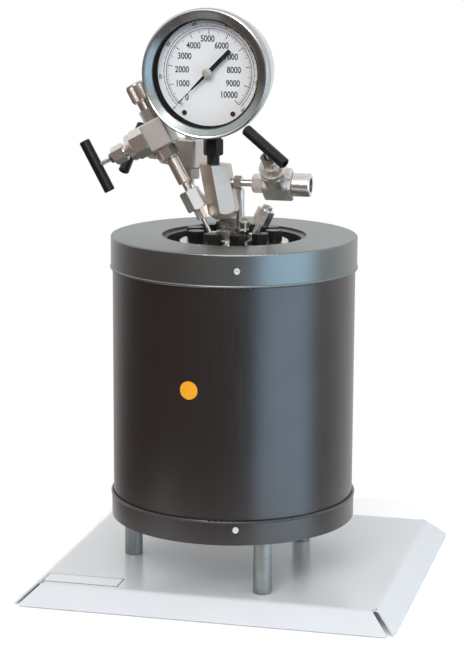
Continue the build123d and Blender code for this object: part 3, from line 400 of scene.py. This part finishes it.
# %% Finish the solid pieces
finishes = {
    black_anodised: ["outer_shell", "bottom_cover"],
    # The top cover takes the lighter copy of the finish, a painted sheen.
    cover_anodised_painted_sheen: ["top_cover", "well_liner"],
    powder_coat: ["base_tray"],
    leg_steel: ["legs"],
    zinc_plate: ["leg_screws", "cover_screws"],
    ceramic_fibre: ["insulation"],
    fired_ceramic: ["hearth_plate", "ceramic_heater"],
    ribbon_steel: ["heating_element"],
    bright_steel: ["pointer_staff", "left_valve_needle", "right_valve_needle", "rear_valve_needle",
                   "left_valve_spindle", "right_valve_spindle", "rear_valve_spindle"],
    moulded_nylon: ["cord_gland"],
    turned_steel: ["vessel_cup", "vessel_head", "clamp_ring_left", "clamp_ring_right", "drop_band",
                   "thermowell", "dip_tube", "rupture_disc_holder", "front_fitting",
                   "spare_port_adapter", "left_adapter", "left_union_nut", "left_riser",
                   "left_end_plug", "right_nipple", "outlet_connector", "rear_riser",
                   "rear_end_plug", "line_nuts", "valve_bonnets", "valve_gland_nuts"],
    block_steel: ["gauge_block"],
    milled_steel: ["left_valve_body", "right_valve_body", "rear_valve_body"],
    dark_steel: ["block_union", "dial_screws"],
    graphite: ["head_gasket"],
    black_oxide: ["clamp_bolts", "gauge_socket", "left_valve_handle", "right_valve_handle",
                  "rear_valve_handle"],
    tube_bronze: ["bourdon_tube"],
    yellow_brass: ["gauge_movement"],
    case_steel_and_highlight: ["gauge_case"],
    dial_enamel: ["dial_face"],
    pointer_paint: ["pointer"],
    window_glass: ["gauge_glass"],
    bezel_finish: ["bezel_ring"],
}
for finish, names in finishes.items():
    for name in names:
        nodes[name].data.materials.clear()
        nodes[name].data.materials.append(finish)
dressed = sum(len(names) for names in finishes.values())
print("solid pieces with a finish:", dressed, "of", len(nodes))

# %% [markdown]
# ## Fine pieces
# Each fine piece is shaped as a bmesh and then made an object. This helper turns the faces outwards,
# keeps edges sharper than 35 degrees crisp, and lets the piece ride on the body that carries it.

# %% Helper for new pieces
crisp_angle = math.radians(35)


def place_piece(name, shape, finish_list, body):
    """Make a bmesh an object with its finishes, riding on a body, and return it."""
    bmesh.ops.recalc_face_normals(shape, faces=shape.faces)
    mesh = bpy.data.meshes.new(name)
    shape.to_mesh(mesh)
    shape.free()
    mesh.shade_smooth()
    mesh.set_sharp_from_angle(angle=crisp_angle)
    for finish in finish_list:
        mesh.materials.append(finish)
    piece = bpy.data.objects.new(name, mesh)
    bpy.context.scene.collection.objects.link(piece)
    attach(piece, body)
    print(name, "faces:", len(mesh.polygons))
    return piece


print("piece helper ready")

# %% [markdown]
# The tray is one sheet with four flanges folded down. A flat grid is the natural start: a cut near each
# side marks where the slits begin, bevelling the corner vertices opens them, extruding the edges makes
# the flanges, and bevelling the folds gives them the press brake's radius. Solidify then adds the
# sheet's thickness, and a Bevel modifier rounds the cut edges, which makes them catch the light. A grid
# of small faces shades more evenly over the wide flat top than one large face would.

# %% Folded tray
tray_low, tray_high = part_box("base_tray")
tray_sheet = 2.0 * MM
tray_reach = 20.0 * MM
tray_slit = 7.0 * MM
tray_cells = 16
foot_radius = 6.0 * MM
fold_radius = 3.0 * MM
fold_least_angle = 0.5
cut_edge_round = 0.4 * MM
tray_drop = tray_high.z - tray_low.z - tray_sheet / math.sqrt(2)
top_size = Vector((tray_high.x - tray_low.x - 2 * tray_reach, tray_high.y - tray_low.y - 2 * tray_reach, 1))
tray_place = Vector((middle("base_tray").x, middle("base_tray").y, tray_high.z))


def fold_down(shape, axis, way):
    """Extrude the boundary edges on one side of the top into a mitred flange."""
    side_line = way * top_size[axis] / 2
    edges = [edge for edge in shape.edges if edge.is_boundary
             and all(abs(vert.co[axis] - side_line) < 0.01 * MM for vert in edge.verts)]
    result = bmesh.ops.extrude_edge_only(shape, edges=edges)
    for vert in [item for item in result["geom"] if isinstance(item, bmesh.types.BMVert)]:
        vert.co[axis] += way * tray_reach
        vert.co[1 - axis] *= 1 + 2 * tray_reach / top_size[1 - axis]
        vert.co.z -= tray_drop


def make_folded_tray():
    shape = bmesh.new()
    bmesh.ops.create_grid(shape, x_segments=tray_cells, y_segments=tray_cells, size=0.5)
    bmesh.ops.scale(shape, vec=top_size, verts=shape.verts)
    for axis in (0, 1):
        for way in (-1, 1):
            cut = Vector((0, 0, 0))
            cut[axis] = way * (top_size[axis] / 2 - tray_slit)
            geometry = shape.verts[:] + shape.edges[:] + shape.faces[:]
            bmesh.ops.bisect_plane(shape, geom=geometry, plane_co=cut, plane_no=cut.normalized())
    corners = [vert for vert in shape.verts if len(vert.link_edges) == 2]
    bmesh.ops.bevel(shape, geom=corners, offset=tray_slit / math.sqrt(2), offset_type="OFFSET", segments=1,
                    profile=0.5, affect="VERTICES", material=-1)
    for axis in (0, 1):
        for way in (-1, 1):
            fold_down(shape, axis, way)
    feet = [vert for vert in shape.verts if len(vert.link_edges) == 2]
    bmesh.ops.bevel(shape, geom=feet, offset=foot_radius, offset_type="OFFSET", segments=4, profile=0.5,
                    affect="VERTICES", material=-1)
    bends = [edge for edge in shape.edges
             if len(edge.link_faces) == 2 and edge.calc_face_angle(0) > fold_least_angle]
    bmesh.ops.bevel(shape, geom=bends, offset=fold_radius, offset_type="OFFSET", segments=4, profile=0.5,
                    affect="EDGES", material=-1)
    bmesh.ops.translate(shape, vec=tray_place, verts=shape.verts)
    bmesh.ops.recalc_face_normals(shape, faces=shape.faces)
    bmesh.ops.solidify(shape, geom=shape.faces[:], thickness=tray_sheet)
    tray = place_piece("folded_tray", shape, [powder_coat], "reactor")
    rounding = tray.modifiers.new("cut_edges", "BEVEL")
    rounding.width = cut_edge_round
    rounding.segments = 2
    rounding.limit_method = "ANGLE"
    rounding.angle_limit = math.radians(50)
    rounding.harden_normals = True
    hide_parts("base_tray")


make_folded_tray()

# %% [markdown]
# A blank name plate lies at the tray's front left corner: pale film with a thin dark border. Insetting
# a single face gives the border for nothing, and the ring of faces takes the ink.

# %% Blank name plate
def make_name_plate():
    plate_size = Vector((78 * MM, 25 * MM, 1))
    plate_thickness = 0.15 * MM
    plate_margin = Vector((3 * MM, 6 * MM, 0))
    border = 0.9 * MM
    corner = Vector((tray_place.x - top_size.x / 2, tray_place.y - top_size.y / 2, tray_place.z))
    shape = bmesh.new()
    bmesh.ops.create_grid(shape, x_segments=1, y_segments=1, size=0.5)
    bmesh.ops.scale(shape, vec=plate_size, verts=shape.verts)
    ring = bmesh.ops.inset_region(shape, faces=shape.faces[:], thickness=border, use_boundary=True,
                                  use_even_offset=True)
    for face in ring["faces"]:
        face.material_index = 1
    raised = bmesh.ops.extrude_face_region(shape, geom=shape.faces[:])
    lifted = [item for item in raised["geom"] if isinstance(item, bmesh.types.BMVert)]
    bmesh.ops.translate(shape, vec=(0, 0, plate_thickness), verts=lifted)
    centre = corner + plate_margin + Vector((plate_size.x / 2, plate_size.y / 2, 0))
    bmesh.ops.translate(shape, vec=centre, verts=shape.verts)
    place_piece("name_plate", shape, [label_film, dial_ink], "reactor")


make_name_plate()

# %% [markdown]
# A round amber patch, left blank, marks the front of the casing. It starts as a sphere pressed almost
# flat, which gives concentric rings of vertices, and is then wrapped round the shell: each sideways
# distance becomes an angle about the heater's axis.

# %% Amber patch
def make_amber_patch():
    patch_radius = 9.0 * MM
    patch_thickness = 0.15 * MM
    patch_height = 225.0 * MM
    patch_turn = math.radians(-7.0)
    shape = bmesh.new()
    bmesh.ops.create_uvsphere(shape, u_segments=48, v_segments=16, radius=1.0)
    bmesh.ops.scale(shape, vec=(patch_radius, patch_radius, patch_thickness), verts=shape.verts)
    for vert in shape.verts:
        angle = vert.co.x / shell_radius + patch_turn
        radius = shell_radius + vert.co.z
        height = patch_height + vert.co.y
        vert.co = heater_axis + Vector((radius * math.sin(angle), -radius * math.cos(angle), height))
    place_piece("amber_patch", shape, [amber_film], "reactor")


make_amber_patch()

# %% [markdown]
# The dial's scale runs over 270 degrees, from 0 at the lower left to 10000 at the lower right. One
# function gives the angle of a value, so that ticks, figures and arcs agree. A tick is a thin bar of
# ink, and each arc is a small square face spun about the dial's axis.

# %% Dial scale
scale_start = 225.0
scale_sweep = 270.0
scale_top = 10000
ink_depth = 0.05 * MM
arc_radius = 43.0 * MM
outer_arc_radius = 45.2 * MM
arc_width = 0.5 * MM
arc_steps = 108
bold_tick = 0.7 * MM
fine_tick = 0.4 * MM


def scale_angle(value, top=scale_top):
    return math.radians(scale_start - scale_sweep * value / top)


def tick_length(value):
    """Long at each 1000, middling at each 500 and short between."""
    if value % 1000 == 0:
        return 6.0 * MM
    return 4.0 * MM if value % 500 == 0 else 2.4 * MM


def add_tick(shape, angle, inner, outer, width):
    """A bar of ink between two radii."""
    size = Matrix.Diagonal((outer - inner, width, ink_depth, 1))
    place = Matrix.Translation(((inner + outer) / 2, 0, ink_depth / 2))
    bmesh.ops.create_cube(shape, size=1, matrix=dial_frame @ Matrix.Rotation(angle, 4, "Z") @ place @ size)


def add_arc(shape, radius):
    """A square face at the scale's end, spun back to its start."""
    upright = Matrix.Rotation(math.pi / 2, 4, "X")
    size = Matrix.Diagonal((arc_width, ink_depth, 1, 1))
    start = Matrix.Rotation(scale_angle(scale_top), 4, "Z") @ Matrix.Translation((radius, 0, ink_depth / 2))
    made = bmesh.ops.create_grid(shape, x_segments=1, y_segments=1, size=0.5,
                                 matrix=dial_frame @ start @ upright @ size)
    faces = list({face for vert in made["verts"] for face in vert.link_faces})
    geometry = made["verts"] + list({edge for face in faces for edge in face.edges}) + faces
    bmesh.ops.spin(shape, geom=geometry, cent=dial_centre, axis=(0, -1, 0), angle=math.radians(scale_sweep),
                   steps=arc_steps, use_duplicate=False)


ink = bmesh.new()
for value in range(0, scale_top + 1, 100):
    width = bold_tick if value % 1000 == 0 else fine_tick
    add_tick(ink, scale_angle(value), arc_radius - tick_length(value), arc_radius, width)
add_arc(ink, arc_radius)
add_arc(ink, outer_arc_radius)
print("dial scale faces:", len(ink.faces))

# %% [markdown]
# The outer arc carries a second, finer scale from 0 to 700 in another unit. Its last mark falls a little
# short of the main scale's end, because 700 of the one is a bit more than 10000 of the other. The
# figure 700 is set at the end all the same, a little before its true place.

# %% Second scale
outer_scale_top = 689.5
outer_tick = 0.45 * MM
for value in range(0, 681, 20):
    outer_end = outer_arc_radius + (2.0 * MM if value % 100 == 0 else 1.1 * MM)
    add_tick(ink, scale_angle(value, outer_scale_top), outer_arc_radius, outer_end, outer_tick)
print("dial scale faces:", len(ink.faces))

# %% [markdown]
# Figures are text objects made into meshes before they are placed. Each one is scaled to its real height
# and made narrower, as dial figures are. The big ones stand upright inside the ticks, and the small ones
# turn with the outer arc.

# %% Dial figures
figure_height = 6.4 * MM
small_figure_height = 3.2 * MM
small_figure_radius = 48.9 * MM
figure_narrowing = 0.82
letter_extrude = 0.01
letter_swell = 0.02


def add_figure(shape, text, height, place):
    """Lay a number on the dial with its centre at place, in the dial's frame."""
    curve = bpy.data.curves.new("figure", "FONT")
    curve.body = text
    curve.align_x = "CENTER"
    curve.align_y = "CENTER"
    curve.extrude = letter_extrude
    curve.offset = letter_swell
    curve.resolution_u = 4
    holder = bpy.data.objects.new("figure", curve)
    bpy.context.scene.collection.objects.link(holder)
    bpy.context.view_layer.update()
    mesh = bpy.data.meshes.new_from_object(holder.evaluated_get(bpy.context.evaluated_depsgraph_get()))
    tall = max(vert.co.y for vert in mesh.vertices) - min(vert.co.y for vert in mesh.vertices)
    letter_scale = height / tall
    size = Matrix.Diagonal((letter_scale * figure_narrowing, letter_scale,
                            ink_depth / (2 * letter_extrude), 1))
    mesh.transform(dial_frame @ place @ Matrix.Translation((0, 0, ink_depth / 2)) @ size)
    shape.from_mesh(mesh)
    bpy.data.objects.remove(holder)
    bpy.data.curves.remove(curve)
    bpy.data.meshes.remove(mesh)


# Each figure's centre, in millimetres right of the dial's centre and above it.
figure_places = {0: (-22, -24.4), 1000: (-26.5, -11), 2000: (-27, 2.5), 3000: (-24.5, 15.6),
                 4000: (-15.5, 25.9), 5000: (-1.5, 32.8), 6000: (12.6, 26.3), 7000: (22, 15.7),
                 8000: (25, 3.1), 9000: (24, -9.8), 10000: (20, -20.9)}
for value, (across, up) in figure_places.items():
    add_figure(ink, str(value), figure_height, Matrix.Translation((across * MM, up * MM, 0)))
for value in range(0, 701, 100):
    turn = scale_angle(min(value, outer_scale_top), outer_scale_top)
    outward = Matrix.Rotation(turn, 4, "Z") @ Matrix.Translation((small_figure_radius, 0, 0))
    add_figure(ink, str(value), small_figure_height, outward @ Matrix.Rotation(-math.pi / 2, 4, "Z"))
place_piece("dial_printing", ink, [dial_ink], "reactor")

# %% [markdown]
# A rest pin beside the zero stops the pointer, and a polished cap covers its hub. Both are outlines spun
# about an axis, as on a lathe: this helper spins a few points and welds the seam and the pole.

# %% Lathe helper, rest pin and pointer cap
def lathe(outline, place, steps=48, closed=False):
    """Spin points of (radius, height) in metres about local Z and set the result at place."""
    shape = bmesh.new()
    verts = [shape.verts.new((radius, 0, height)) for radius, height in outline]
    pairs = list(zip(verts, verts[1:])) + ([(verts[-1], verts[0])] if closed else [])
    edges = [shape.edges.new(pair) for pair in pairs]
    bmesh.ops.spin(shape, geom=verts + edges, cent=(0, 0, 0), axis=(0, 0, 1), angle=2 * math.pi, steps=steps,
                   use_merge=True, use_duplicate=False)
    bmesh.ops.remove_doubles(shape, verts=shape.verts, dist=0.0005 * MM)
    bmesh.ops.transform(shape, matrix=place, verts=shape.verts)
    return shape


pin_lead = math.radians(2.6)
pin_reach = 40 * MM
pin_turn = Matrix.Rotation(scale_angle(0) + pin_lead, 4, "Z")
pin_place = dial_frame @ pin_turn @ Matrix.Translation((pin_reach, 0, 0))
pin_outline = [(0, 0), (0.8 * MM, 0), (0.8 * MM, 5.6 * MM), (0.6 * MM, 6.0 * MM), (0, 6.0 * MM)]
place_piece("rest_pin", lathe(pin_outline, pin_place, 24), [bright_steel], "reactor")

cap_lift = dial_low.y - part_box("pointer")[0].y
cap_outline = [(0, 0.1 * MM), (4.8 * MM, 0.1 * MM), (4.8 * MM, 0.6 * MM), (4.3 * MM, 1.0 * MM),
               (1.7 * MM, 1.15 * MM), (1.5 * MM, 0.7 * MM), (0, 0.7 * MM)]
cap_place = dial_frame @ Matrix.Translation((0, 0, cap_lift))
place_piece("pointer_cap", lathe(cap_outline, cap_place), [milled_steel], "pointer_body")

# %% [markdown]
# The pointer is three flat parts in line: a wide tail that balances it, a blade that narrows, and a thin
# tip that reaches the scale. Each starts as a cube, and the blade's far end is scaled to a third. It
# keeps the plane of the solid pointer and rides on the pointer's body.

# %% Painted pointer
def make_painted_pointer():
    blade_depth = 0.8 * MM
    blade_rise = 1.2 * MM
    hub_radius = 4.6 * MM
    blade_lift = dial_low.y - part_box("pointer")[1].y + blade_rise
    aim = dial_frame @ Matrix.Rotation(scale_angle(0), 4, "Z")
    shape = bmesh.new()
    # Tail, blade and tip: where each starts, its length, its width, and its width at the far end, in mm.
    parts = ((-31.5, 31.5, 4.2, 4.2), (0, 23, 3.6, 1.4), (22.5, 20.5, 0.6, 0.5))
    for start, length, width, far_width in parts:
        size = Matrix.Diagonal((length * MM, width * MM, blade_depth, 1))
        place = Matrix.Translation(((start + length / 2) * MM, 0, blade_lift))
        made = bmesh.ops.create_cube(shape, size=1, matrix=place @ size)
        far_end = [vert for vert in made["verts"] if vert.co.x > (start + length / 2) * MM]
        bmesh.ops.scale(shape, vec=(1, far_width / width, 1), verts=far_end)
    bmesh.ops.create_cone(shape, cap_ends=True, segments=48, radius1=hub_radius, radius2=hub_radius,
                          depth=2 * (cap_lift - blade_lift), matrix=Matrix.Translation((0, 0, blade_lift)))
    bmesh.ops.transform(shape, matrix=aim, verts=shape.verts)
    piece = place_piece("painted_pointer", shape, [pointer_paint], "pointer_body")
    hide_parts("pointer")


make_painted_pointer()

# %% [markdown]
# Between the glass and the dial stands a black ring of painted shade, which hides the inside of the case,
# and a rubber lip seals the front of the glass. From the side the ring shows as a black crescent of shade.

# %% Dial shade ring
glass_low, glass_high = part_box("gauge_glass")
bezel_low, bezel_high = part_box("bezel_ring")
ring_steps = 128
shade_ring_inner = 51.7 * MM
shade_ring_outer = 53.7 * MM
shade_ring_back = -1.2 * MM
shade_ring_front = dial_low.y - glass_high.y - 0.1 * MM
shade_ring_outline = [(shade_ring_inner, shade_ring_back), (shade_ring_inner, 0.3 * MM),
                  (shade_ring_inner + 0.5 * MM, shade_ring_front), (shade_ring_outer, shade_ring_front),
                  (shade_ring_outer, shade_ring_back)]
# A black ring painted in as the shade deep in the dial's recess.
shade_ring_shape = lathe(shade_ring_outline, dial_frame, ring_steps, closed=True)
place_piece("dial_shade_ring", shade_ring_shape, [black_rubber_and_shade], "reactor")
lip_outer = 52.45 * MM
lip_back = dial_low.y - glass_low.y + 0.02 * MM
lip_front = lip_back + 0.5 * MM
lip_outline = [(51.6 * MM, lip_back), (51.9 * MM, lip_front), (lip_outer, lip_front), (lip_outer, lip_back)]
seal_shape = lathe(lip_outline, dial_frame, ring_steps, closed=True)
place_piece("glass_seal", seal_shape, [black_rubber_and_shade], "reactor")

# %% [markdown]
# The bezel's flat lip carries a low rounded bead, which gives the gauge its bright outer line. The bead's
# shape is real, but it is drawn in the pale case steel instead of the bezel's own finish: a painted
# highlight. Five points make the bead's section, and the lathe does the rest.

# %% Bezel bead
bezel_radius = (bezel_high.x - bezel_low.x) / 2
bead_foot = dial_low.y - bezel_low.y - 0.3 * MM
bead_outline = [(bezel_radius - 3.4 * MM, bead_foot), (bezel_radius - 3.0 * MM, bead_foot + 0.8 * MM),
                (bezel_radius - 1.8 * MM, bead_foot + 1.3 * MM),
                (bezel_radius - 0.7 * MM, bead_foot + 0.8 * MM),
                (bezel_radius - 0.4 * MM, bead_foot)]
bead_shape = lathe(bead_outline, dial_frame, steps=160, closed=True)
# Pale case steel on the bead instead of the bezel's finish: a painted highlight.
place_piece("bezel_bead", bead_shape, [case_steel_and_highlight], "reactor")

# %% [markdown]
# The cap on the left line is knurled with straight ridges so that fingers can turn it. A circle of twice
# as many points as ridges, with every second point pushed in, is extruded along the cap. Its frame comes
# from the valve's joint: Z runs along the stem and X along the flow.

# %% Knurled sleeve
def valve_frame(side, flow):
    """A matrix at the middle of a valve, with Z along its stem and X along its flow."""
    joint = joints[side + "_valve_turn"]
    stem = Vector(joint["axis"]).normalized()
    along = (Vector(flow) - Vector(flow).dot(stem) * stem).normalized()
    turn = Matrix((along, stem.cross(along), stem)).transposed().to_4x4()
    return Matrix.Translation(Vector(joint["pos_m"])) @ turn


def make_knurled_sleeve():
    ridge_count = 44
    ridge_radius = 9.7 * MM
    groove_radius = 9.3 * MM
    sleeve_start = 37.0 * MM
    sleeve_length = 15.0 * MM
    sleeve_wall = 0.2 * MM
    shape = bmesh.new()
    bmesh.ops.create_circle(shape, segments=2 * ridge_count, radius=ridge_radius)
    grooves = [vert for index, vert in enumerate(shape.verts) if index % 2]
    bmesh.ops.scale(shape, vec=(groove_radius / ridge_radius,) * 3, verts=grooves)
    walls = bmesh.ops.extrude_edge_only(shape, edges=shape.edges[:])
    far_end = [item for item in walls["geom"] if isinstance(item, bmesh.types.BMVert)]
    bmesh.ops.translate(shape, vec=(0, 0, sleeve_length), verts=far_end)
    bmesh.ops.recalc_face_normals(shape, faces=shape.faces)
    bmesh.ops.solidify(shape, geom=shape.faces[:], thickness=sleeve_wall)
    along_flow = Matrix.Rotation(math.pi / 2, 4, "Y")
    place = valve_frame("left", (0, 0, 1)) @ Matrix.Translation((sleeve_start, 0, 0)) @ along_flow
    bmesh.ops.transform(shape, matrix=place, verts=shape.verts)
    place_piece("knurled_sleeve", shape, [turned_steel], "reactor")


make_knurled_sleeve()

# %% [markdown]
# Each spindle shows a short length of thread above its gland nut. A thread is what a spin does when it
# also moves along the axis: a small pointed outline goes round once for each turn and rises by the pitch.

# %% Spindle threads
def make_spindle_thread(side, flow):
    pitch = 1.0 * MM
    turns = 3
    core = 4.7 * MM
    crest = 5.15 * MM
    thread_width = 0.9 * pitch
    thread_start = 52.9 * MM
    steps_each_turn = 32
    shape = bmesh.new()
    outline = [(core, thread_start), (crest, thread_start + thread_width / 2),
               (core, thread_start + thread_width)]
    verts = [shape.verts.new((radius, 0, height)) for radius, height in outline]
    section = shape.faces.new(verts)
    steps = turns * steps_each_turn
    bmesh.ops.spin(shape, geom=verts + list(section.edges) + [section], cent=(0, 0, 0), axis=(0, 0, 1),
                   dvec=(0, 0, pitch * turns / steps), angle=2 * math.pi * turns, steps=steps,
                   use_duplicate=False)
    bmesh.ops.transform(shape, matrix=valve_frame(side, flow), verts=shape.verts)
    place_piece(side + "_spindle_thread", shape, [dark_steel], side + "_handle_body")


for side, flow in (("left", (0, 0, 1)), ("right", (1, 0, 0)), ("rear", (0, 0, 1))):
    make_spindle_thread(side, flow)

# %% [markdown]
# ## Stage
# The stage is a small white table in a studio with a white backdrop behind and a dim room in front.
# The table is plain white card that takes the object's shadow. A little glow, seen only by the camera, by
# mirrors and through glass, lifts it to the white of the backdrop, so that its edge does not show.

# %% White table
def make_table():
    half_size = 0.33
    drop = 0.3 * MM
    grain_size = 25 * MM
    glow_strength = 0.1
    shape = bmesh.new()
    bmesh.ops.create_grid(shape, x_segments=1, y_segments=1, size=half_size)
    bmesh.ops.translate(shape, vec=(heater_axis.x, heater_axis.y, -drop), verts=shape.verts)
    mesh = bpy.data.meshes.new("white_table")
    shape.to_mesh(mesh)
    shape.free()
    table = bpy.data.objects.new("white_table", mesh)
    bpy.context.scene.collection.objects.link(table)
    material, tree, place = start_material("table_white")
    grain = add(tree, "ShaderNodeTexNoise", {"Vector": place, "Scale": 1 / grain_size, "Detail": 2})
    paper = add(tree, "ShaderNodeMix", {
        "Factor": grain.outputs[0], 6: colour("#f4f4f4"), 7: colour("#f7f7f7")}, data_type="RGBA")
    path = add(tree, "ShaderNodeLightPath")
    seen = add(tree, "ShaderNodeMath", {0: path.outputs["Is Camera Ray"], 1: path.outputs["Is Glossy Ray"]},
               operation="MAXIMUM")
    seen = add(tree, "ShaderNodeMath", {0: seen.outputs[0], 1: path.outputs["Is Transmission Ray"]},
               operation="MAXIMUM")
    glow = add(tree, "ShaderNodeMath", {0: seen.outputs[0], 1: glow_strength}, operation="MULTIPLY")
    shader = add(tree, "ShaderNodeBsdfPrincipled", {
        "Base Color": paper.outputs[2], "Roughness": 0.9, "Emission Color": (1, 1, 1, 1),
        "Emission Strength": glow.outputs[0]})
    add(tree, "ShaderNodeOutputMaterial", {"Surface": shader.outputs[0]})
    mesh.materials.append(material)
    print("table side:", 2 * half_size)


make_table()

# %% [markdown]
# The world holds the studio. Its far side is the white backdrop, and the near side is a dim room. A
# smooth step between the two, on the direction of each ray, draws both. The camera and clear glass see
# plain white, metal mirrors the same backdrop at full strength, and dull surfaces get a little less.

# %% Studio world
camera_heading = math.radians(13.757)
backdrop_offset = math.radians(22)
backdrop_rise = 2.2
backdrop_turn = camera_heading - backdrop_offset
backdrop_way = Vector((-math.sin(backdrop_turn), math.cos(backdrop_turn), backdrop_rise))
dim_room = (0.2, 0.15, 0.137, 1)
white_paper = (1, 1, 1, 1)
dull_strength = 0.9
mirror_gain = 0.1


def make_studio():
    world = bpy.data.worlds.new("studio")
    bpy.context.scene.world = world
    world.use_nodes = True
    tree = world.node_tree
    tree.nodes.clear()
    way = add(tree, "ShaderNodeTexCoord").outputs["Generated"]
    facing = add(tree, "ShaderNodeVectorMath", {0: way, 1: backdrop_way}, operation="DOT_PRODUCT")
    backdrop = add(tree, "ShaderNodeMapRange", {
        "Value": facing.outputs["Value"], "From Min": -0.5, "From Max": 0.5},
        interpolation_type="SMOOTHSTEP")
    room = add(tree, "ShaderNodeMix", {
        "Factor": backdrop.outputs[0], 6: dim_room, 7: white_paper}, data_type="RGBA")
    path = add(tree, "ShaderNodeLightPath")
    strength = add(tree, "ShaderNodeMath", {
        0: path.outputs["Is Glossy Ray"], 1: mirror_gain, 2: dull_strength}, operation="MULTIPLY_ADD")
    light = add(tree, "ShaderNodeBackground", {"Color": room.outputs[2], "Strength": strength.outputs[0]})
    white = add(tree, "ShaderNodeBackground", {"Color": white_paper, "Strength": 1.0})
    clear_view = add(tree, "ShaderNodeMath", {
        0: path.outputs["Is Camera Ray"], 1: path.outputs["Is Transmission Ray"]}, operation="MAXIMUM")
    mix = add(tree, "ShaderNodeMixShader", {
        0: clear_view.outputs[0], 1: light.outputs[0], 2: white.outputs[0]})
    add(tree, "ShaderNodeOutputWorld", {"Surface": mix.outputs[0]})
    return world


studio = make_studio()
print("world:", studio.name)

# %% [markdown]
# Two softboxes add shape. A large square one at the right, tinted blue, makes the broad blue-grey
# streak on the casing, and a white one above the camera lights the dial and the tray. Their power
# follows their area, so that each can be made larger without growing brighter.

# %% Softboxes
aim_height = 0.3


def add_softbox(name, bearing, distance, height, width, tall, brightness, tone):
    """A rectangular lamp at a bearing from the camera's side of the heater, aimed at the heater."""
    lamp = bpy.data.lights.new(name, "AREA")
    lamp.shape = "RECTANGLE"
    lamp.size = width
    lamp.size_y = tall
    lamp.energy = brightness * width * tall * math.pi
    lamp.color = colour(tone)[:3]
    holder = bpy.data.objects.new(name, lamp)
    bpy.context.scene.collection.objects.link(holder)
    turn = camera_heading + math.radians(bearing)
    place = heater_axis + Vector((math.sin(turn) * distance, -math.cos(turn) * distance, height))
    aim = heater_axis + Vector((0, 0, aim_height)) - place
    holder.matrix_world = Matrix.Translation(place) @ aim.to_track_quat("-Z", "Y").to_matrix().to_4x4()
    holder.visible_camera = False
    print(name, "at", [round(value, 2) for value in place], "W:", round(lamp.energy, 1))


add_softbox("right_streak", bearing=49, distance=1.6, height=0.1, width=1.6, tall=1.6,
            brightness=2.2, tone="#c0e2ff")
add_softbox("high_front", bearing=-12, distance=2.0, height=1.5, width=1.6, tall=1.0,
            brightness=6.5, tone="#ffffff")

# %% [markdown]
# The camera stands in front and a little to the right, above the tray, with a long lens. It is placed
# from the heater's axis: a heading and distance over the floor, a height, and a downward tilt.

# %% Camera
camera_distance = 2106.3 * MM
camera_height = 691.8 * MM
camera_pan = math.radians(0.0474)
camera_tilt = 0.1994
camera_roll = 0.005
image_height = 650
focal_pixels = 2146.0
sensor_size = 36.0

lens = bpy.data.cameras.new("camera")
lens.sensor_fit = "AUTO"
lens.sensor_width = sensor_size
lens.lens = focal_pixels / image_height * sensor_size
camera = bpy.data.objects.new("camera", lens)
bpy.context.scene.collection.objects.link(camera)
stand = heater_axis + Vector((math.sin(camera_heading), -math.cos(camera_heading), 0)) * camera_distance
stand.z = camera_height
heading = Matrix.Rotation(camera_heading + camera_pan, 4, "Z")
tilt = Matrix.Rotation(math.pi / 2 - camera_tilt, 4, "X")
camera.matrix_world = Matrix.Translation(stand) @ heading @ tilt @ Matrix.Rotation(camera_roll, 4, "Z")
bpy.context.scene.camera = camera
bpy.context.scene.view_settings.view_transform = "Standard"
print("camera at", [round(value, 3) for value in stand], "lens", round(lens.lens, 1))
